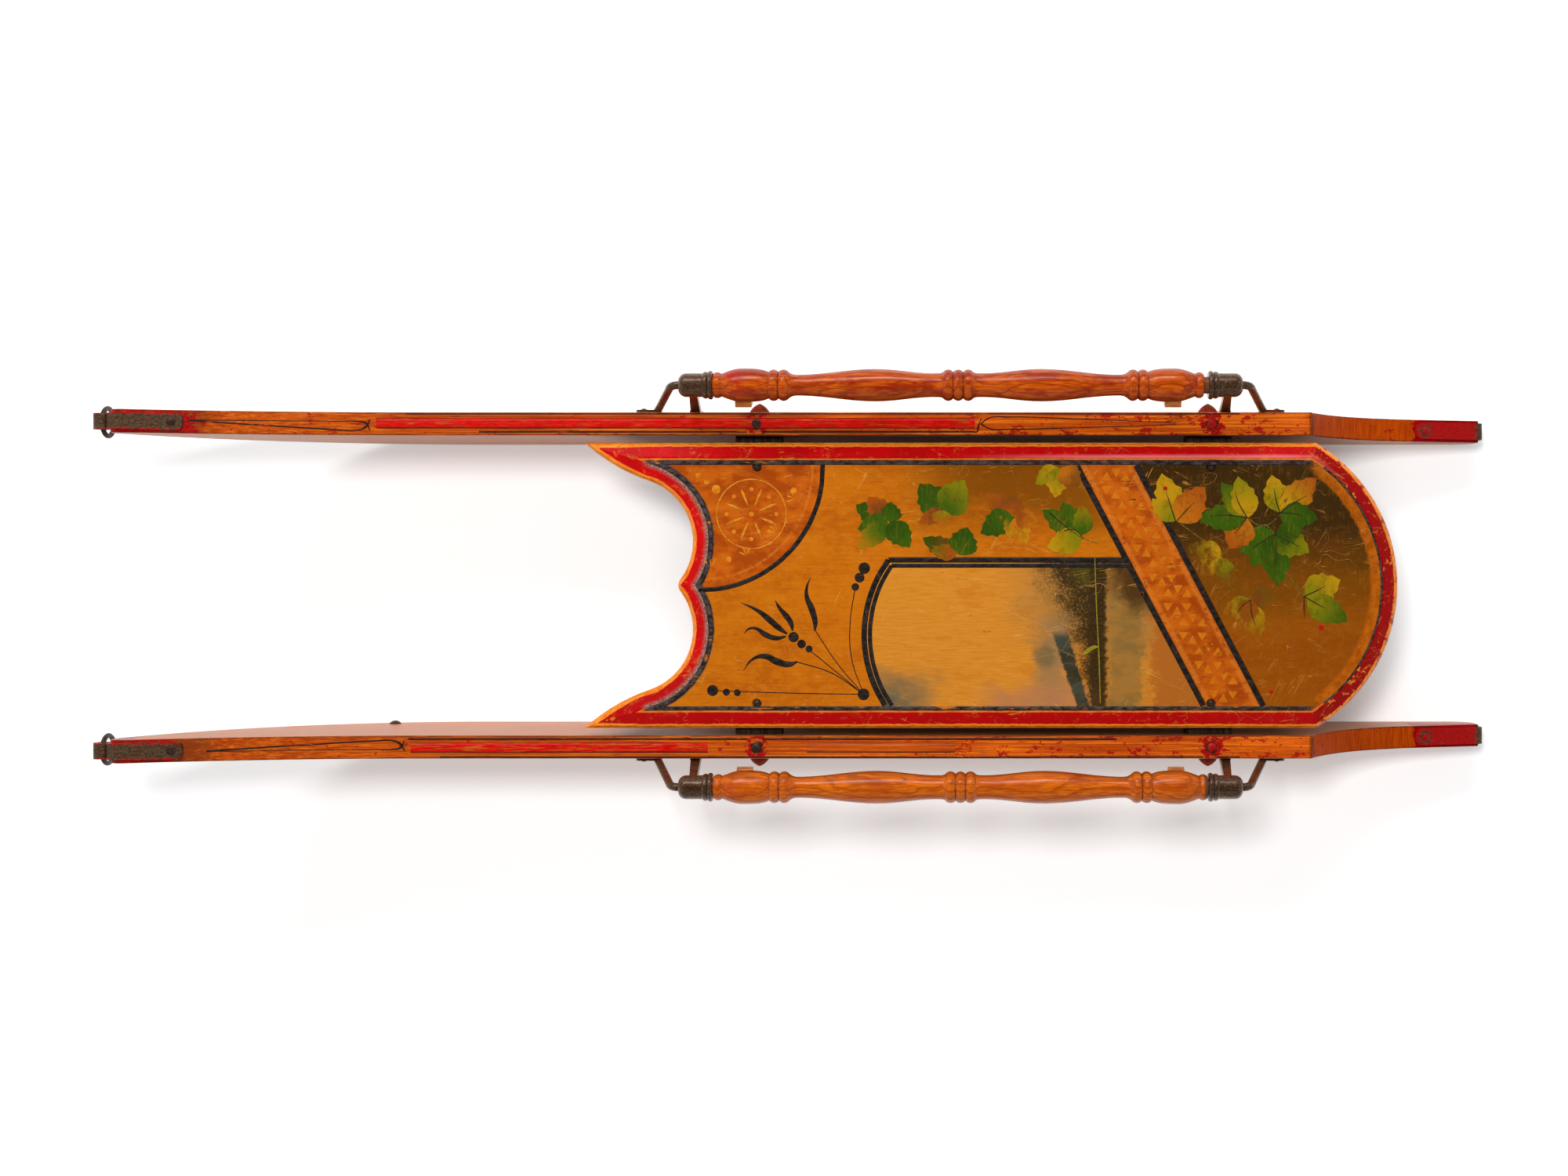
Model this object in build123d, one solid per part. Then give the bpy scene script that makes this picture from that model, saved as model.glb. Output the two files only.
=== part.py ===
from build123d import *
from math import asin, atan, cos, degrees, pi, radians, sin, sqrt
import os

# A child's runner sled. +X runs from the nose to the tail, +Y to the rider's right seen from
# above with the nose to the left, and +Z is up. The origin is on the ground, under the middle.

# ---- Overall sizes ----
overall_length = 1158.0
runner_spacing = 266.0  # centre to centre
runner_top_z = 140.0

# ---- Runner boards ----
runner_thickness = 19.05
runner_arris = 1.0
nose_radius = 10.0
nose_top_radius = 760.0
nose_top_start = 265.0  # how far behind the nose the top edge begins to rise
nose_sweep_radius = 300.0
heel_length = 168.5  # from the crease to the tail
cove_radius = 165.0
cove_start_slope = 65.0  # degrees, just behind the crease
heel_slope = 15.0  # degrees
heel_corner_radius = 18.0
heel_top_radius = 3.0

# ---- Iron shoes ----
shoe_thickness = 3.2
shoe_width = 14.3
eye_width = 13.0
eye_wall = 3.2
eye_taper_length = 34.0
nose_tab_end = 71.0  # behind the nose
nose_tab_corner = 4.5
nose_rivet_inset = 9.0
tail_tab_length = 63.5
tail_rivet_inset = 9.5
rivet_head_radius = 3.6
rivet_head_height = 1.6
rivet_shank_radius = 1.8
rivet_depth = 14.0
shoe_screw_count = 5
shoe_screw_head_radius = 3.6
shoe_screw_shank_radius = 1.9
shoe_screw_length = 22.0
shoe_screw_recess = 0.3
shoe_screw_end_gap = 45.0

# ---- Tow rings ----
ring_wire_radius = 2.0
ring_mid_radius = 11.2
ring_eye_gap = 0.4  # free space round the ring's wire in its eye

# ---- Crossbars ----
front_crossbar_from_nose = 532.5
rear_crossbar_from_tail = 251.0
crossbar_width = 38.5
crossbar_thickness = 20.0
crossbar_arris = 1.5
tenon_radius = 9.0
tenon_crown = 9.0
tenon_crown_fullness = 0.56
pin_shank_radius = 2.0
pin_head_radius = 3.9
pin_head_height = 2.4
pin_end_margin = 2.0

# ---- Deck board ----
deck_side_gap = 5.6
deck_thickness = 13.0
deck_drop = 3.0  # how far its top lies below the runner tops
deck_lip_drop = 2.6
deck_lip_width = 2.2
deck_bevel_drop = 2.2
deck_bevel_width = 9.5
deck_front_overhang = 143.0  # horn tips ahead of the front crossbar
deck_corner_overhang = 87.0  # square corners behind the rear crossbar
deck_rear_rise = 67.5
bite_centre_y = 40.0
bite_depth = 89.5  # from the horn tips
cusp_depth = 77.5
cusp_half_width = 5.5
horn_bend_depth = 27.5
horn_bend_y = 98.0
bite_outer_depth = 54.5
bite_outer_y = 86.0

# ---- Deck bolts ----
deck_bolt_y = 97.5
deck_bolt_radius = 2.5
deck_bolt_head_radius = 3.4
deck_bolt_head_height = 2.2
deck_bolt_head_sink = 0.2  # crown below the deck top
deck_bolt_recess_gap = 0.8  # round the head
washer_radius = 8.0
washer_thickness = 1.2
nut_across_flats = 9.0
nut_thickness = 4.0
bolt_end_stand = 2.0

# ---- Hand rails ----
rail_axis_out = 28.5  # outboard of the runner's middle
rail_axis_up = 38.0  # above the runner top
right_rail_play = 4.0  # end to end, between the cups
left_rail_play = 1.6
rail_touch_gap = 0.15  # where a rail has slid up to its cup
rail_tenon_radius = 6.85
rail_tenon_length = 16.0
rail_tenon_chamfer = 1.0
bead_width = 8.0
bead_radius = 12.7
bead_groove_radius = 10.8
neck_run = 7.0
inner_neck_radius = 9.6
swell_radius = 13.1
swell_share = 0.43  # where the swell is fullest, between its two necks
outer_neck_radius = 8.4
bulge_length = 38.0
bulge_radius = 13.5
bulge_share = 0.56
end_neck_radius = 9.2
end_bead_width = 6.5
end_bead_radius = 10.4
end_face_radius = 9.0
rail_plug_length = 13.2
rail_plug_height = 9.0
rail_plug_inner_radius = 8.5
rail_plug_outer_radius = 17.4
rail_plug_from_end = 24.0
right_plug_drop = 20.0  # degrees below level, on the side towards the runner
left_plug_drop = 42.0

# ---- Rail brackets ----
front_cup_ahead = 31.0  # mouth ahead of the front crossbar's middle
rear_cup_ahead = 8.0  # mouth ahead of the rear crossbar's middle
cup_running_gap = 0.05
cup_bottom_gap = 1.5
cup_length = 28.0
cup_radius = 9.6
cup_end_radius = 6.5
cup_lip_radius = 11.6
cup_lip_width = 4.0
cup_bead_radius = 10.9
cup_bead_width = 4.4
cup_groove_radius = 10.1
arm_radius = 3.3
arm_bend_radius = 8.0
arm_turn = 71.0  # degrees
foot_below_top = 20.0
foot_height = 20.0
foot_thickness = 2.8
foot_heel = 4.5  # how far the arm's foot reaches back past the arm's middle
foot_toe = 15.5  # and how far forward
foot_corner = 4.0
leg_from_mouth = 16.7
leg_top_width = 5.5
leg_foot_from_mouth = 21.6
leg_foot_width = 9.0
leg_depth = 6.0
leg_foot_drop = 22.0
bracket_screw_head_radius = 3.0
bracket_screw_head_height = 1.8
bracket_screw_radius = 1.8
bracket_screw_length = 12.0
arm_screw_from_toe = 5.5
leg_screw_from_bottom = 5.0

# ---- Runner bolt ----
runner_bolt_from_nose = 203.0
runner_bolt_z = 27.0
runner_bolt_head_radius = 5.0
runner_bolt_head_height = 3.0
runner_bolt_radius = 2.5

# ---- Places worked out from the sizes above ----
ring_sag = ring_mid_radius - sqrt(ring_mid_radius**2 - (eye_width / 2) ** 2)
ring_slant = asin(eye_width / 2 / ring_mid_radius)
eye_hole_radius = ring_sag / 2 + ring_wire_radius / cos(ring_slant) + ring_eye_gap
nose_x = -overall_length / 2
tail_x = overall_length / 2
crease_x = tail_x - heel_length
runner_mid_y = runner_spacing / 2
runner_inner_y = runner_mid_y - runner_thickness / 2
runner_outer_y = runner_mid_y + runner_thickness / 2
wood_bottom_z = shoe_thickness
wood_nose_x = nose_x + 2 * (eye_wall + eye_hole_radius)
wood_tail_x = tail_x - shoe_thickness
front_crossbar_x = nose_x + front_crossbar_from_nose
rear_crossbar_x = tail_x - rear_crossbar_from_tail
deck_half_width = runner_inner_y - deck_side_gap
deck_top_z = runner_top_z - deck_drop
deck_bottom_z = deck_top_z - deck_thickness
crossbar_mid_z = deck_bottom_z - crossbar_thickness / 2
crossbar_bottom_z = deck_bottom_z - crossbar_thickness
deck_bolt_seat_z = deck_top_z - deck_bolt_head_sink - deck_bolt_head_height
horn_x = front_crossbar_x - deck_front_overhang
deck_corner_x = rear_crossbar_x + deck_corner_overhang
rail_y = runner_mid_y + rail_axis_out
rail_z = runner_top_z + rail_axis_up
front_mouth_x = front_crossbar_x - front_cup_ahead
rear_mouth_x = rear_crossbar_x - rear_cup_ahead
rail_mid_x = (front_mouth_x + rear_mouth_x) / 2
cup_bore_radius = rail_tenon_radius + cup_running_gap
nodes = {}


def point(x, z):
    """A point of a side view, which lies in the plane Y = 0."""
    return Vector(x, 0, z)


def arc_about(centre, start, end):
    """The shorter arc from start to end about a centre."""
    middle = (start + end) / 2 - centre
    radius = (start - centre).length
    return ThreePointArc(start, centre + middle.normalized() * radius, end)


def mirrored(shape):
    return mirror(shape, about=Plane.XZ)


def placed_side(shape, side):
    """A shape modelled on the right, or its mirror image on the left."""
    return shape if side == "right" else mirrored(shape)


def without(shape, cutters):
    for cutter in cutters:
        shape -= cutter
    return shape


def rod(start, end, radius):
    """A round bar between two points."""
    plane = Plane(origin=start, z_dir=end - start)
    return extrude(plane * Circle(radius), amount=(end - start).length)


def block(low, high):
    size = high - low
    middle = (low + high) / 2
    return Pos(middle.X, middle.Y, middle.Z) * Box(size.X, size.Y, size.Z)


def domed_head(base, direction, radius, height):
    """A low round head that stands on base and points along direction."""
    sideways = Vector(0, 1, 0) if abs(direction.X) > 0.5 else Vector(1, 0, 0)
    rim = radius * 0.12
    rise = height - rim
    ball_radius = (radius**2 + rise**2) / (2 * rise)
    half_angle = asin(radius / ball_radius) / 2
    shoulder = (ball_radius * sin(half_angle), height - ball_radius * (1 - cos(half_angle)))
    outline = Polyline((0, height), (0, 0), (radius, 0), (radius, rim))
    outline += ThreePointArc((radius, rim), shoulder, (0, height))
    head = revolve(Plane.XZ * make_face(outline.edges()), axis=Axis.Z)
    return Plane(origin=base, x_dir=sideways, z_dir=direction) * head


# ---- Runner side view ----
top_centre = point(nose_x + nose_top_start, runner_top_z + nose_top_radius)
nose_centre_x = wood_nose_x + nose_radius
nose_centre_z = top_centre.Z - sqrt(
    (nose_top_radius + nose_radius) ** 2 - (nose_centre_x - top_centre.X) ** 2
)
nose_centre = point(nose_centre_x, nose_centre_z)
sweep_centre_z = wood_bottom_z + nose_sweep_radius
sweep_centre_x = nose_centre_x + sqrt(
    (nose_sweep_radius - nose_radius) ** 2 - (nose_centre_z - sweep_centre_z) ** 2
)
sweep_centre = point(sweep_centre_x, sweep_centre_z)
nose_top_end = top_centre + (nose_centre - top_centre).normalized() * nose_top_radius
sweep_end = sweep_centre + (nose_centre - sweep_centre).normalized() * nose_sweep_radius
slope = radians(heel_slope)
steep = radians(cove_start_slope)
cove_centre = point(crease_x, runner_top_z) + point(sin(steep), cos(steep)) * cove_radius
cove_end = cove_centre - point(sin(slope), cos(slope)) * cove_radius
heel_top = point(wood_tail_x, cove_end.Z - (wood_tail_x - cove_end.X) * sin(slope) / cos(slope))


def runner_profile():
    """The side view of a runner board, as a face in the plane Y = 0."""
    crease = point(crease_x, runner_top_z)
    rise_start = point(top_centre.X, runner_top_z)
    nose_tip = point(wood_nose_x, nose_centre_z)
    sweep_start = point(sweep_centre_x, wood_bottom_z)
    heel_bottom = point(wood_tail_x, wood_bottom_z)
    edges = Line(crease, rise_start)
    edges += arc_about(top_centre, rise_start, nose_top_end)
    edges += ThreePointArc(nose_top_end, nose_tip, sweep_end)
    edges += arc_about(sweep_centre, sweep_end, sweep_start)
    edges += Polyline(sweep_start, heel_bottom, heel_top, cove_end)
    edges += arc_about(cove_centre, cove_end, crease)
    face = make_face(edges.edges())
    corner = face.vertices().sort_by_distance(heel_bottom)[0]
    face = fillet(corner, heel_corner_radius)
    top_corner = face.vertices().sort_by_distance(heel_top)[0]
    return fillet(top_corner, heel_top_radius)


def side_prism(face, low_y, high_y):
    """A side-view face given its width across the sled."""
    return Pos(0, low_y, 0) * extrude(face, amount=high_y - low_y, dir=(0, 1, 0))


profile = runner_profile()


def surface_z(x, top=True):
    """The height of the runner board's top or bottom edge at a station."""
    cut = Line(point(x, wood_bottom_z - 50), point(x, runner_top_z + 200)) & profile
    points = [vertex.Z for vertex in cut.vertices()]
    return max(points) if top else min(points)


# ---- Runner boards and their iron shoes ----
band = offset(profile, amount=shoe_thickness, kind=Kind.ARC) - profile
eye_centre = point(nose_x + eye_wall + eye_hole_radius, nose_centre_z)
side_plane = Plane(origin=eye_centre, x_dir=(1, 0, 0), z_dir=(0, -1, 0))
nose_tab_x = nose_x + nose_tab_end
tail_tab_x = tail_x - tail_tab_length


def middle_z(x):
    return (surface_z(x) + surface_z(x, top=False)) / 2


def bare_top():
    """The region above the runner's middle line, between the two tabs of the shoe."""
    stations = [nose_tab_x, top_centre.X, crease_x, tail_tab_x]
    lower = [point(x, middle_z(x)) for x in stations]
    high = runner_top_z + nose_top_start
    corners = [*lower, point(tail_tab_x, high), point(nose_tab_x, high)]
    return make_face(Polyline(*corners, close=True).edges())


def tab_end_edges(shoe, x):
    """The short edges through the strap's thickness where a tab ends."""
    near = shoe.edges().filter_by_position(Axis.X, x - 0.01, x + 0.01)
    return [edge for edge in near if abs(edge.tangent_at(0.5).Y) < 0.5]


def runner_shoe():
    strap = side_prism(band, runner_mid_y - shoe_width / 2, runner_mid_y + shoe_width / 2)
    strap -= side_prism(bare_top(), runner_inner_y - 5, runner_outer_y + 5)
    strap = fillet(tab_end_edges(strap, nose_tab_x), nose_tab_corner)
    strap = fillet(tab_end_edges(strap, tail_tab_x), shoe_width / 2 - 0.2)
    taper_start = wood_nose_x + eye_taper_length
    for edge_side in (-1, 1):
        corners = [
            (nose_x - 5, runner_mid_y + edge_side * eye_width / 2),
            (wood_nose_x, runner_mid_y + edge_side * eye_width / 2),
            (taper_start, runner_mid_y + edge_side * shoe_width / 2),
            (taper_start, runner_mid_y + edge_side * shoe_width),
            (nose_x - 5, runner_mid_y + edge_side * shoe_width),
        ]
        trim = make_face(Polyline(*corners, close=True).edges())
        strap -= Pos(0, 0, -10) * extrude(trim, amount=runner_top_z * 2, dir=(0, 0, 1))
    low_y = runner_mid_y - eye_width / 2
    high_y = runner_mid_y + eye_width / 2
    eye = side_plane * Circle(eye_wall + eye_hole_radius)
    strap += side_prism(eye, low_y, high_y) - side_prism(profile, runner_inner_y, runner_outer_y)
    hole = side_plane * Circle(eye_hole_radius)
    return strap - side_prism(hole, low_y - 1, high_y + 1)


def runner_board():
    board = side_prism(profile, runner_inner_y, runner_outer_y)
    outline = [edge for edge in board.edges() if abs(edge.tangent_at(0.5).Y) < 0.5]
    return fillet(outline, runner_arris)


# ---- Nails, screws and pins that stand on or in the runners, all modelled on the right ----
def tab_rivet(x):
    """A rivet through a strap tab, square to the tab, with its head on top."""
    slope_here = (surface_z(x + 1) - surface_z(x - 1)) / 2
    outward = Vector(-slope_here, 0, 1).normalized()
    base = Vector(x, runner_mid_y, surface_z(x)) + outward * shoe_thickness
    shank = rod(base, base - outward * rivet_depth, rivet_shank_radius)
    return domed_head(base, outward, rivet_head_radius, rivet_head_height) + shank


nose_rivet = tab_rivet(nose_tab_x - nose_rivet_inset)
tail_rivet = tab_rivet(tail_tab_x + tail_rivet_inset)


def shoe_screw(x):
    """A countersunk screw driven up through the flat of the shoe."""
    head_height = shoe_screw_head_radius - shoe_screw_shank_radius
    base = Vector(x, runner_mid_y, shoe_screw_recess)
    head = Pos(x, runner_mid_y, shoe_screw_recess + head_height / 2) * Cone(
        shoe_screw_head_radius, shoe_screw_shank_radius, head_height
    )
    return head + rod(base, base + Vector(0, 0, shoe_screw_length), shoe_screw_shank_radius)


def shoe_screw_hole(x):
    """The screw's own space and the shallow recess that leaves its head below the iron."""
    recess = Pos(x, runner_mid_y, 0) * Cylinder(
        shoe_screw_head_radius, shoe_screw_recess * 2, align=(Align.CENTER, Align.CENTER, Align.CENTER)
    )
    return shoe_screw(x) + recess


screw_first_x = sweep_centre_x + shoe_screw_end_gap
screw_last_x = tail_x - heel_corner_radius - shoe_screw_end_gap
screw_step = (screw_last_x - screw_first_x) / (shoe_screw_count - 1)
shoe_screw_stations = [screw_first_x + screw_step * i for i in range(shoe_screw_count)]

pin_length = runner_top_z - (crossbar_mid_z - tenon_radius) - pin_end_margin


def crossbar_pin(x):
    """A pin driven down through the runner's top edge and the crossbar's tenon."""
    base = Vector(x, runner_mid_y, runner_top_z)
    shank = rod(base, base - Vector(0, 0, pin_length), pin_shank_radius)
    return domed_head(base, Vector(0, 0, 1), pin_head_radius, pin_head_height) + shank


def runner_bolt():
    """A bolt through the runner near the nose, its head on the inner face."""
    x = nose_x + runner_bolt_from_nose
    base = Vector(x, runner_inner_y, runner_bolt_z)
    shank = rod(base, base + Vector(0, runner_thickness, 0), runner_bolt_radius)
    head = domed_head(base, Vector(0, -1, 0), runner_bolt_head_radius, runner_bolt_head_height)
    return head + shank


# ---- Crossbars ----
def tenon(x, y_from, y_to):
    return rod(Vector(x, y_from, crossbar_mid_z), Vector(x, y_to, crossbar_mid_z), tenon_radius)


def tenon_crown_button(x):
    """The crowned end of a tenon, standing outside the runner."""
    outline = Polyline((0, tenon_crown), (0, 0), (tenon_radius, 0))
    outline += ThreePointArc(
        (tenon_radius, 0),
        (tenon_radius * (1 - tenon_crown_fullness / 2 - 0.05), tenon_crown * tenon_crown_fullness),
        (0, tenon_crown),
    )
    button = revolve(Plane.XZ * make_face(outline.edges()), axis=Axis.Z)
    return Plane(origin=(x, runner_outer_y, crossbar_mid_z), x_dir=(1, 0, 0), z_dir=(0, 1, 0)) * button


def crossbar(x):
    body = block(
        Vector(x - crossbar_width / 2, -runner_inner_y, crossbar_bottom_z),
        Vector(x + crossbar_width / 2, runner_inner_y, deck_bottom_z),
    )
    body = fillet(body.edges().filter_by(Axis.Y), crossbar_arris)
    right_end = tenon(x, 0, runner_outer_y) + tenon_crown_button(x)
    return body + right_end + mirrored(right_end)


# ---- Deck board ----
def deck_outline():
    """The deck seen from above: square shoulders, a bowed rear end and a two-bite front."""
    rear = Vector(deck_corner_x + deck_rear_rise, 0)
    corner = Vector(deck_corner_x, deck_half_width)
    horn = Vector(horn_x, deck_half_width)
    bend = Vector(horn_x + horn_bend_depth, horn_bend_y)
    bite_outer = Vector(horn_x + bite_outer_depth, bite_outer_y)
    bite_bottom = Vector(horn_x + bite_depth, bite_centre_y)
    cusp_side = Vector(horn_x + cusp_depth + 2.2, cusp_half_width)
    cusp = Vector(horn_x + cusp_depth, 0)
    half = Line(corner, horn)
    half += ThreePointArc(horn, bend, bite_outer)
    half += ThreePointArc(bite_outer, bite_bottom, cusp_side)
    outline = half + mirrored(half)
    outline += ThreePointArc(cusp_side, cusp, Vector(cusp_side.X, -cusp_side.Y))
    outline += ThreePointArc(corner, rear, Vector(corner.X, -corner.Y))
    return make_face(outline.edges())


def deck_board():
    """The board in three layers: a square edge, a rounded lip and a long shallow bevel."""
    outline = deck_outline()
    lip_taper = degrees(atan(deck_lip_width / deck_lip_drop))
    bevel_taper = degrees(atan(deck_bevel_width / deck_bevel_drop))
    square_height = deck_thickness - deck_lip_drop - deck_bevel_drop
    board = Pos(0, 0, deck_bottom_z) * extrude(outline, amount=square_height, dir=(0, 0, 1))
    lip_base = Pos(0, 0, deck_bottom_z + square_height) * outline
    lip = extrude(lip_base, amount=deck_lip_drop, taper=lip_taper)
    bevel_base = lip.faces().sort_by(Axis.Z)[-1]
    bevel = extrude(bevel_base, amount=deck_bevel_drop, dir=(0, 0, 1), taper=bevel_taper)
    return board + lip + bevel


def deck_bolt(x, y):
    """A round-headed bolt, let into the deck, that runs down through a crossbar."""
    base = Vector(x, y, deck_bolt_seat_z)
    end_z = crossbar_bottom_z - washer_thickness - nut_thickness - bolt_end_stand
    shank = rod(base, Vector(x, y, end_z), deck_bolt_radius)
    return domed_head(base, Vector(0, 0, 1), deck_bolt_head_radius, deck_bolt_head_height) + shank


def deck_bolt_recess(x, y):
    """The shallow hole in the deck's top that takes a bolt's head."""
    base = Vector(x, y, deck_bolt_seat_z)
    return rod(base, Vector(x, y, deck_top_z + 1), deck_bolt_head_radius + deck_bolt_recess_gap)


def deck_washer(x, y):
    top = crossbar_bottom_z
    disc = rod(Vector(x, y, top), Vector(x, y, top - washer_thickness), washer_radius)
    return disc - rod(Vector(x, y, top + 1), Vector(x, y, top - 5), deck_bolt_radius)


def deck_nut(x, y):
    top = crossbar_bottom_z - washer_thickness
    flat = Plane(origin=(x, y, top - nut_thickness)) * Rectangle(nut_across_flats, nut_across_flats)
    nut = extrude(flat, amount=nut_thickness, dir=(0, 0, 1))
    return nut - rod(Vector(x, y, top + 1), Vector(x, y, top - 9), deck_bolt_radius)


# ---- Hand rails ----
def half_rail_outline(half_length):
    """Radius against distance from the rail's middle, from the middle bead to the tenon's end."""
    end_bead_start = half_length - end_bead_width
    bulge_start = end_bead_start - bulge_length
    double_start = bulge_start - 2 * bead_width
    group_end = 1.5 * bead_width
    inner_neck = group_end + neck_run
    outer_neck = double_start - neck_run
    fullest = inner_neck + (outer_neck - inner_neck) * swell_share
    bulge_fullest = bulge_start + bulge_length * bulge_share

    def bead(start):
        low = bead_groove_radius
        return ThreePointArc((start, low), (start + bead_width / 2, bead_radius), (start + bead_width, low))

    def curve(start, end, leave, arrive):
        return Spline(start, end, tangents=[(1, leave), (1, arrive)])

    middle_shoulder = (bead_width * 0.36, (bead_radius + bead_groove_radius) / 2)
    outline = ThreePointArc((0, bead_radius), middle_shoulder, (bead_width / 2, bead_groove_radius))
    outline += bead(bead_width / 2)
    outline += curve((group_end, bead_groove_radius), (inner_neck, inner_neck_radius), -0.9, 0)
    outline += curve((inner_neck, inner_neck_radius), (fullest, swell_radius), 0, 0)
    outline += curve((fullest, swell_radius), (outer_neck, outer_neck_radius), 0, 0)
    outline += curve((outer_neck, outer_neck_radius), (double_start, bead_groove_radius), 0, 0.9)
    outline += bead(double_start)
    outline += bead(double_start + bead_width)
    outline += curve((bulge_start, bead_groove_radius), (bulge_fullest, bulge_radius), 0.5, 0)
    outline += curve((bulge_fullest, bulge_radius), (end_bead_start, end_neck_radius), 0, -0.35)
    outline += ThreePointArc(
        (end_bead_start, end_neck_radius),
        (end_bead_start + end_bead_width * 0.6, end_bead_radius),
        (half_length, end_face_radius),
    )
    tip = half_length + rail_tenon_length
    outline += Polyline(
        (half_length, end_face_radius),
        (half_length, rail_tenon_radius),
        (tip - rail_tenon_chamfer, rail_tenon_radius),
        (tip, rail_tenon_radius - rail_tenon_chamfer),
        (tip, 0),
        (0, 0),
        (0, bead_radius),
    )
    return outline


def rail_place(side):
    """Where a rail's middle lies and how long it is: a rail with end play has slid forward."""
    play = right_rail_play if side == "right" else left_rail_play
    half_length = (rear_mouth_x - front_mouth_x - play) / 2
    slid = play / 2 - rail_touch_gap if side == "right" else 0
    return rail_mid_x - slid, half_length


def plug_turn(side):
    drop = right_plug_drop if side == "right" else left_plug_drop
    return Rot(drop, 0, 0)


def rail_plug(side, end):
    """A small block let into a rail's end bulge, on the side that faces the runner."""
    middle_x, half_length = rail_place(side)
    x = middle_x + end * (half_length - rail_plug_from_end)
    plug = block(
        Vector(-rail_plug_length / 2, -rail_plug_outer_radius, -rail_plug_height / 2),
        Vector(rail_plug_length / 2, -rail_plug_inner_radius, rail_plug_height / 2),
    )
    plug = fillet(plug.faces().sort_by(Axis.Y)[0].edges(), 0.8)
    return placed_side(Pos(x, rail_y, rail_z) * plug_turn(side) * plug, side)


def hand_rail(side):
    middle_x, half_length = rail_place(side)
    half = revolve(make_face(half_rail_outline(half_length).edges()), axis=Axis.X)
    rail = half + mirror(half, about=Plane.YZ)
    return placed_side(Pos(middle_x, rail_y, rail_z) * rail, side)


# ---- Rail brackets, modelled on the right. Away is -1 on a front one and +1 on a rear one: the
# ---- way that its goose-neck leads, away from the rail.
def rail_point(x):
    return Vector(x, rail_y, rail_z)


foot_mid = Vector(0, runner_outer_y, runner_top_z - foot_below_top)
drop_line = foot_mid - Vector(0, rail_y, rail_z)
drop_direction = drop_line.normalized()
across_leg = Vector(1, 0, 0).cross(drop_direction)


def cup(mouth_x, away):
    """The cup that holds a rail's end, open towards the rail."""
    lip_end = cup_lip_width + cup_bead_width
    mouth = (0, cup_groove_radius)
    groove = (cup_lip_width, cup_groove_radius)
    outline = ThreePointArc(mouth, (cup_lip_width / 2, cup_lip_radius), groove)
    bead_top = (cup_lip_width + cup_bead_width / 2, cup_bead_radius)
    outline += ThreePointArc(groove, bead_top, (lip_end, cup_radius))
    corner_start = cup_length - cup_end_radius
    corner_middle = cup_end_radius * sin(pi / 4)
    outline += Line((lip_end, cup_radius), (corner_start, cup_radius))
    outline += ThreePointArc(
        (corner_start, cup_radius),
        (corner_start + corner_middle, cup_radius - cup_end_radius + corner_middle),
        (cup_length, cup_radius - cup_end_radius),
    )
    outline += Polyline((cup_length, cup_radius - cup_end_radius), (cup_length, 0), (0, 0), mouth)
    body = revolve(make_face(outline.edges()), axis=Axis.X)
    if away < 0:
        body = mirror(body, about=Plane.YZ)
    return Pos(mouth_x, rail_y, rail_z) * body


def cup_bore(mouth_x, away):
    depth = rail_tenon_length + cup_bottom_gap
    return rod(rail_point(mouth_x - away), rail_point(mouth_x + away * depth), cup_bore_radius)


def goose_neck(mouth_x, away):
    """The round arm from the cup's closed end down to its foot on the runner."""
    ahead = Vector(away, 0, 0)
    start = rail_point(mouth_x + away * cup_length)
    turn = radians(arm_turn)
    centre = start + drop_direction * arm_bend_radius
    bend_end = centre + (ahead * sin(turn) - drop_direction * cos(turn)) * arm_bend_radius
    bend_mid = centre + (ahead * sin(turn / 2) - drop_direction * cos(turn / 2)) * arm_bend_radius
    heading = ahead * cos(turn) + drop_direction * sin(turn)
    reach = (drop_line.length - (bend_end - start).dot(drop_direction)) / sin(turn)
    inside = start - ahead * cup_end_radius
    bar = rod(inside, start, arm_radius)
    bend_section = Plane(origin=start, z_dir=ahead) * Circle(arm_radius)
    bend = sweep(bend_section, path=ThreePointArc(start, bend_mid, bend_end))
    end = bend_end + heading * (reach + arm_radius)
    return bar + bend + rod(bend_end, end, arm_radius), (bend_end + heading * reach).X


def arm_foot(foot_x, away):
    """The flat foot of the goose-neck, on the runner's outer face."""
    low_x, high_x = sorted((foot_x - away * foot_heel, foot_x + away * foot_toe))
    foot = block(
        Vector(low_x, runner_outer_y, foot_mid.Z - foot_height / 2),
        Vector(high_x, runner_outer_y + foot_thickness, foot_mid.Z + foot_height / 2),
    )
    return fillet(foot.edges().filter_by(Axis.Y), foot_corner)


def leg_plate(mouth_x, away):
    """The tapered leg from the cup's underside, with its own foot on the runner."""
    top_x = mouth_x + away * leg_from_mouth
    foot_x = mouth_x + away * leg_foot_from_mouth
    top = Vector(0, rail_y, rail_z)
    over = drop_direction * leg_depth
    corners = [
        top + Vector(top_x - leg_top_width / 2, 0, 0),
        top + Vector(top_x + leg_top_width / 2, 0, 0),
        foot_mid + over + Vector(foot_x + leg_foot_width / 2, 0, 0),
        foot_mid + over + Vector(foot_x - leg_foot_width / 2, 0, 0),
    ]
    face = make_face(Polyline(*corners, close=True).edges())
    leg = extrude(face, amount=leg_depth / 2, dir=across_leg, both=True)
    foot = block(
        Vector(foot_x - leg_foot_width / 2, runner_outer_y, foot_mid.Z - leg_foot_drop),
        Vector(foot_x + leg_foot_width / 2, runner_outer_y + foot_thickness, foot_mid.Z + leg_depth / 2),
    )
    return leg + foot, foot_x


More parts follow.
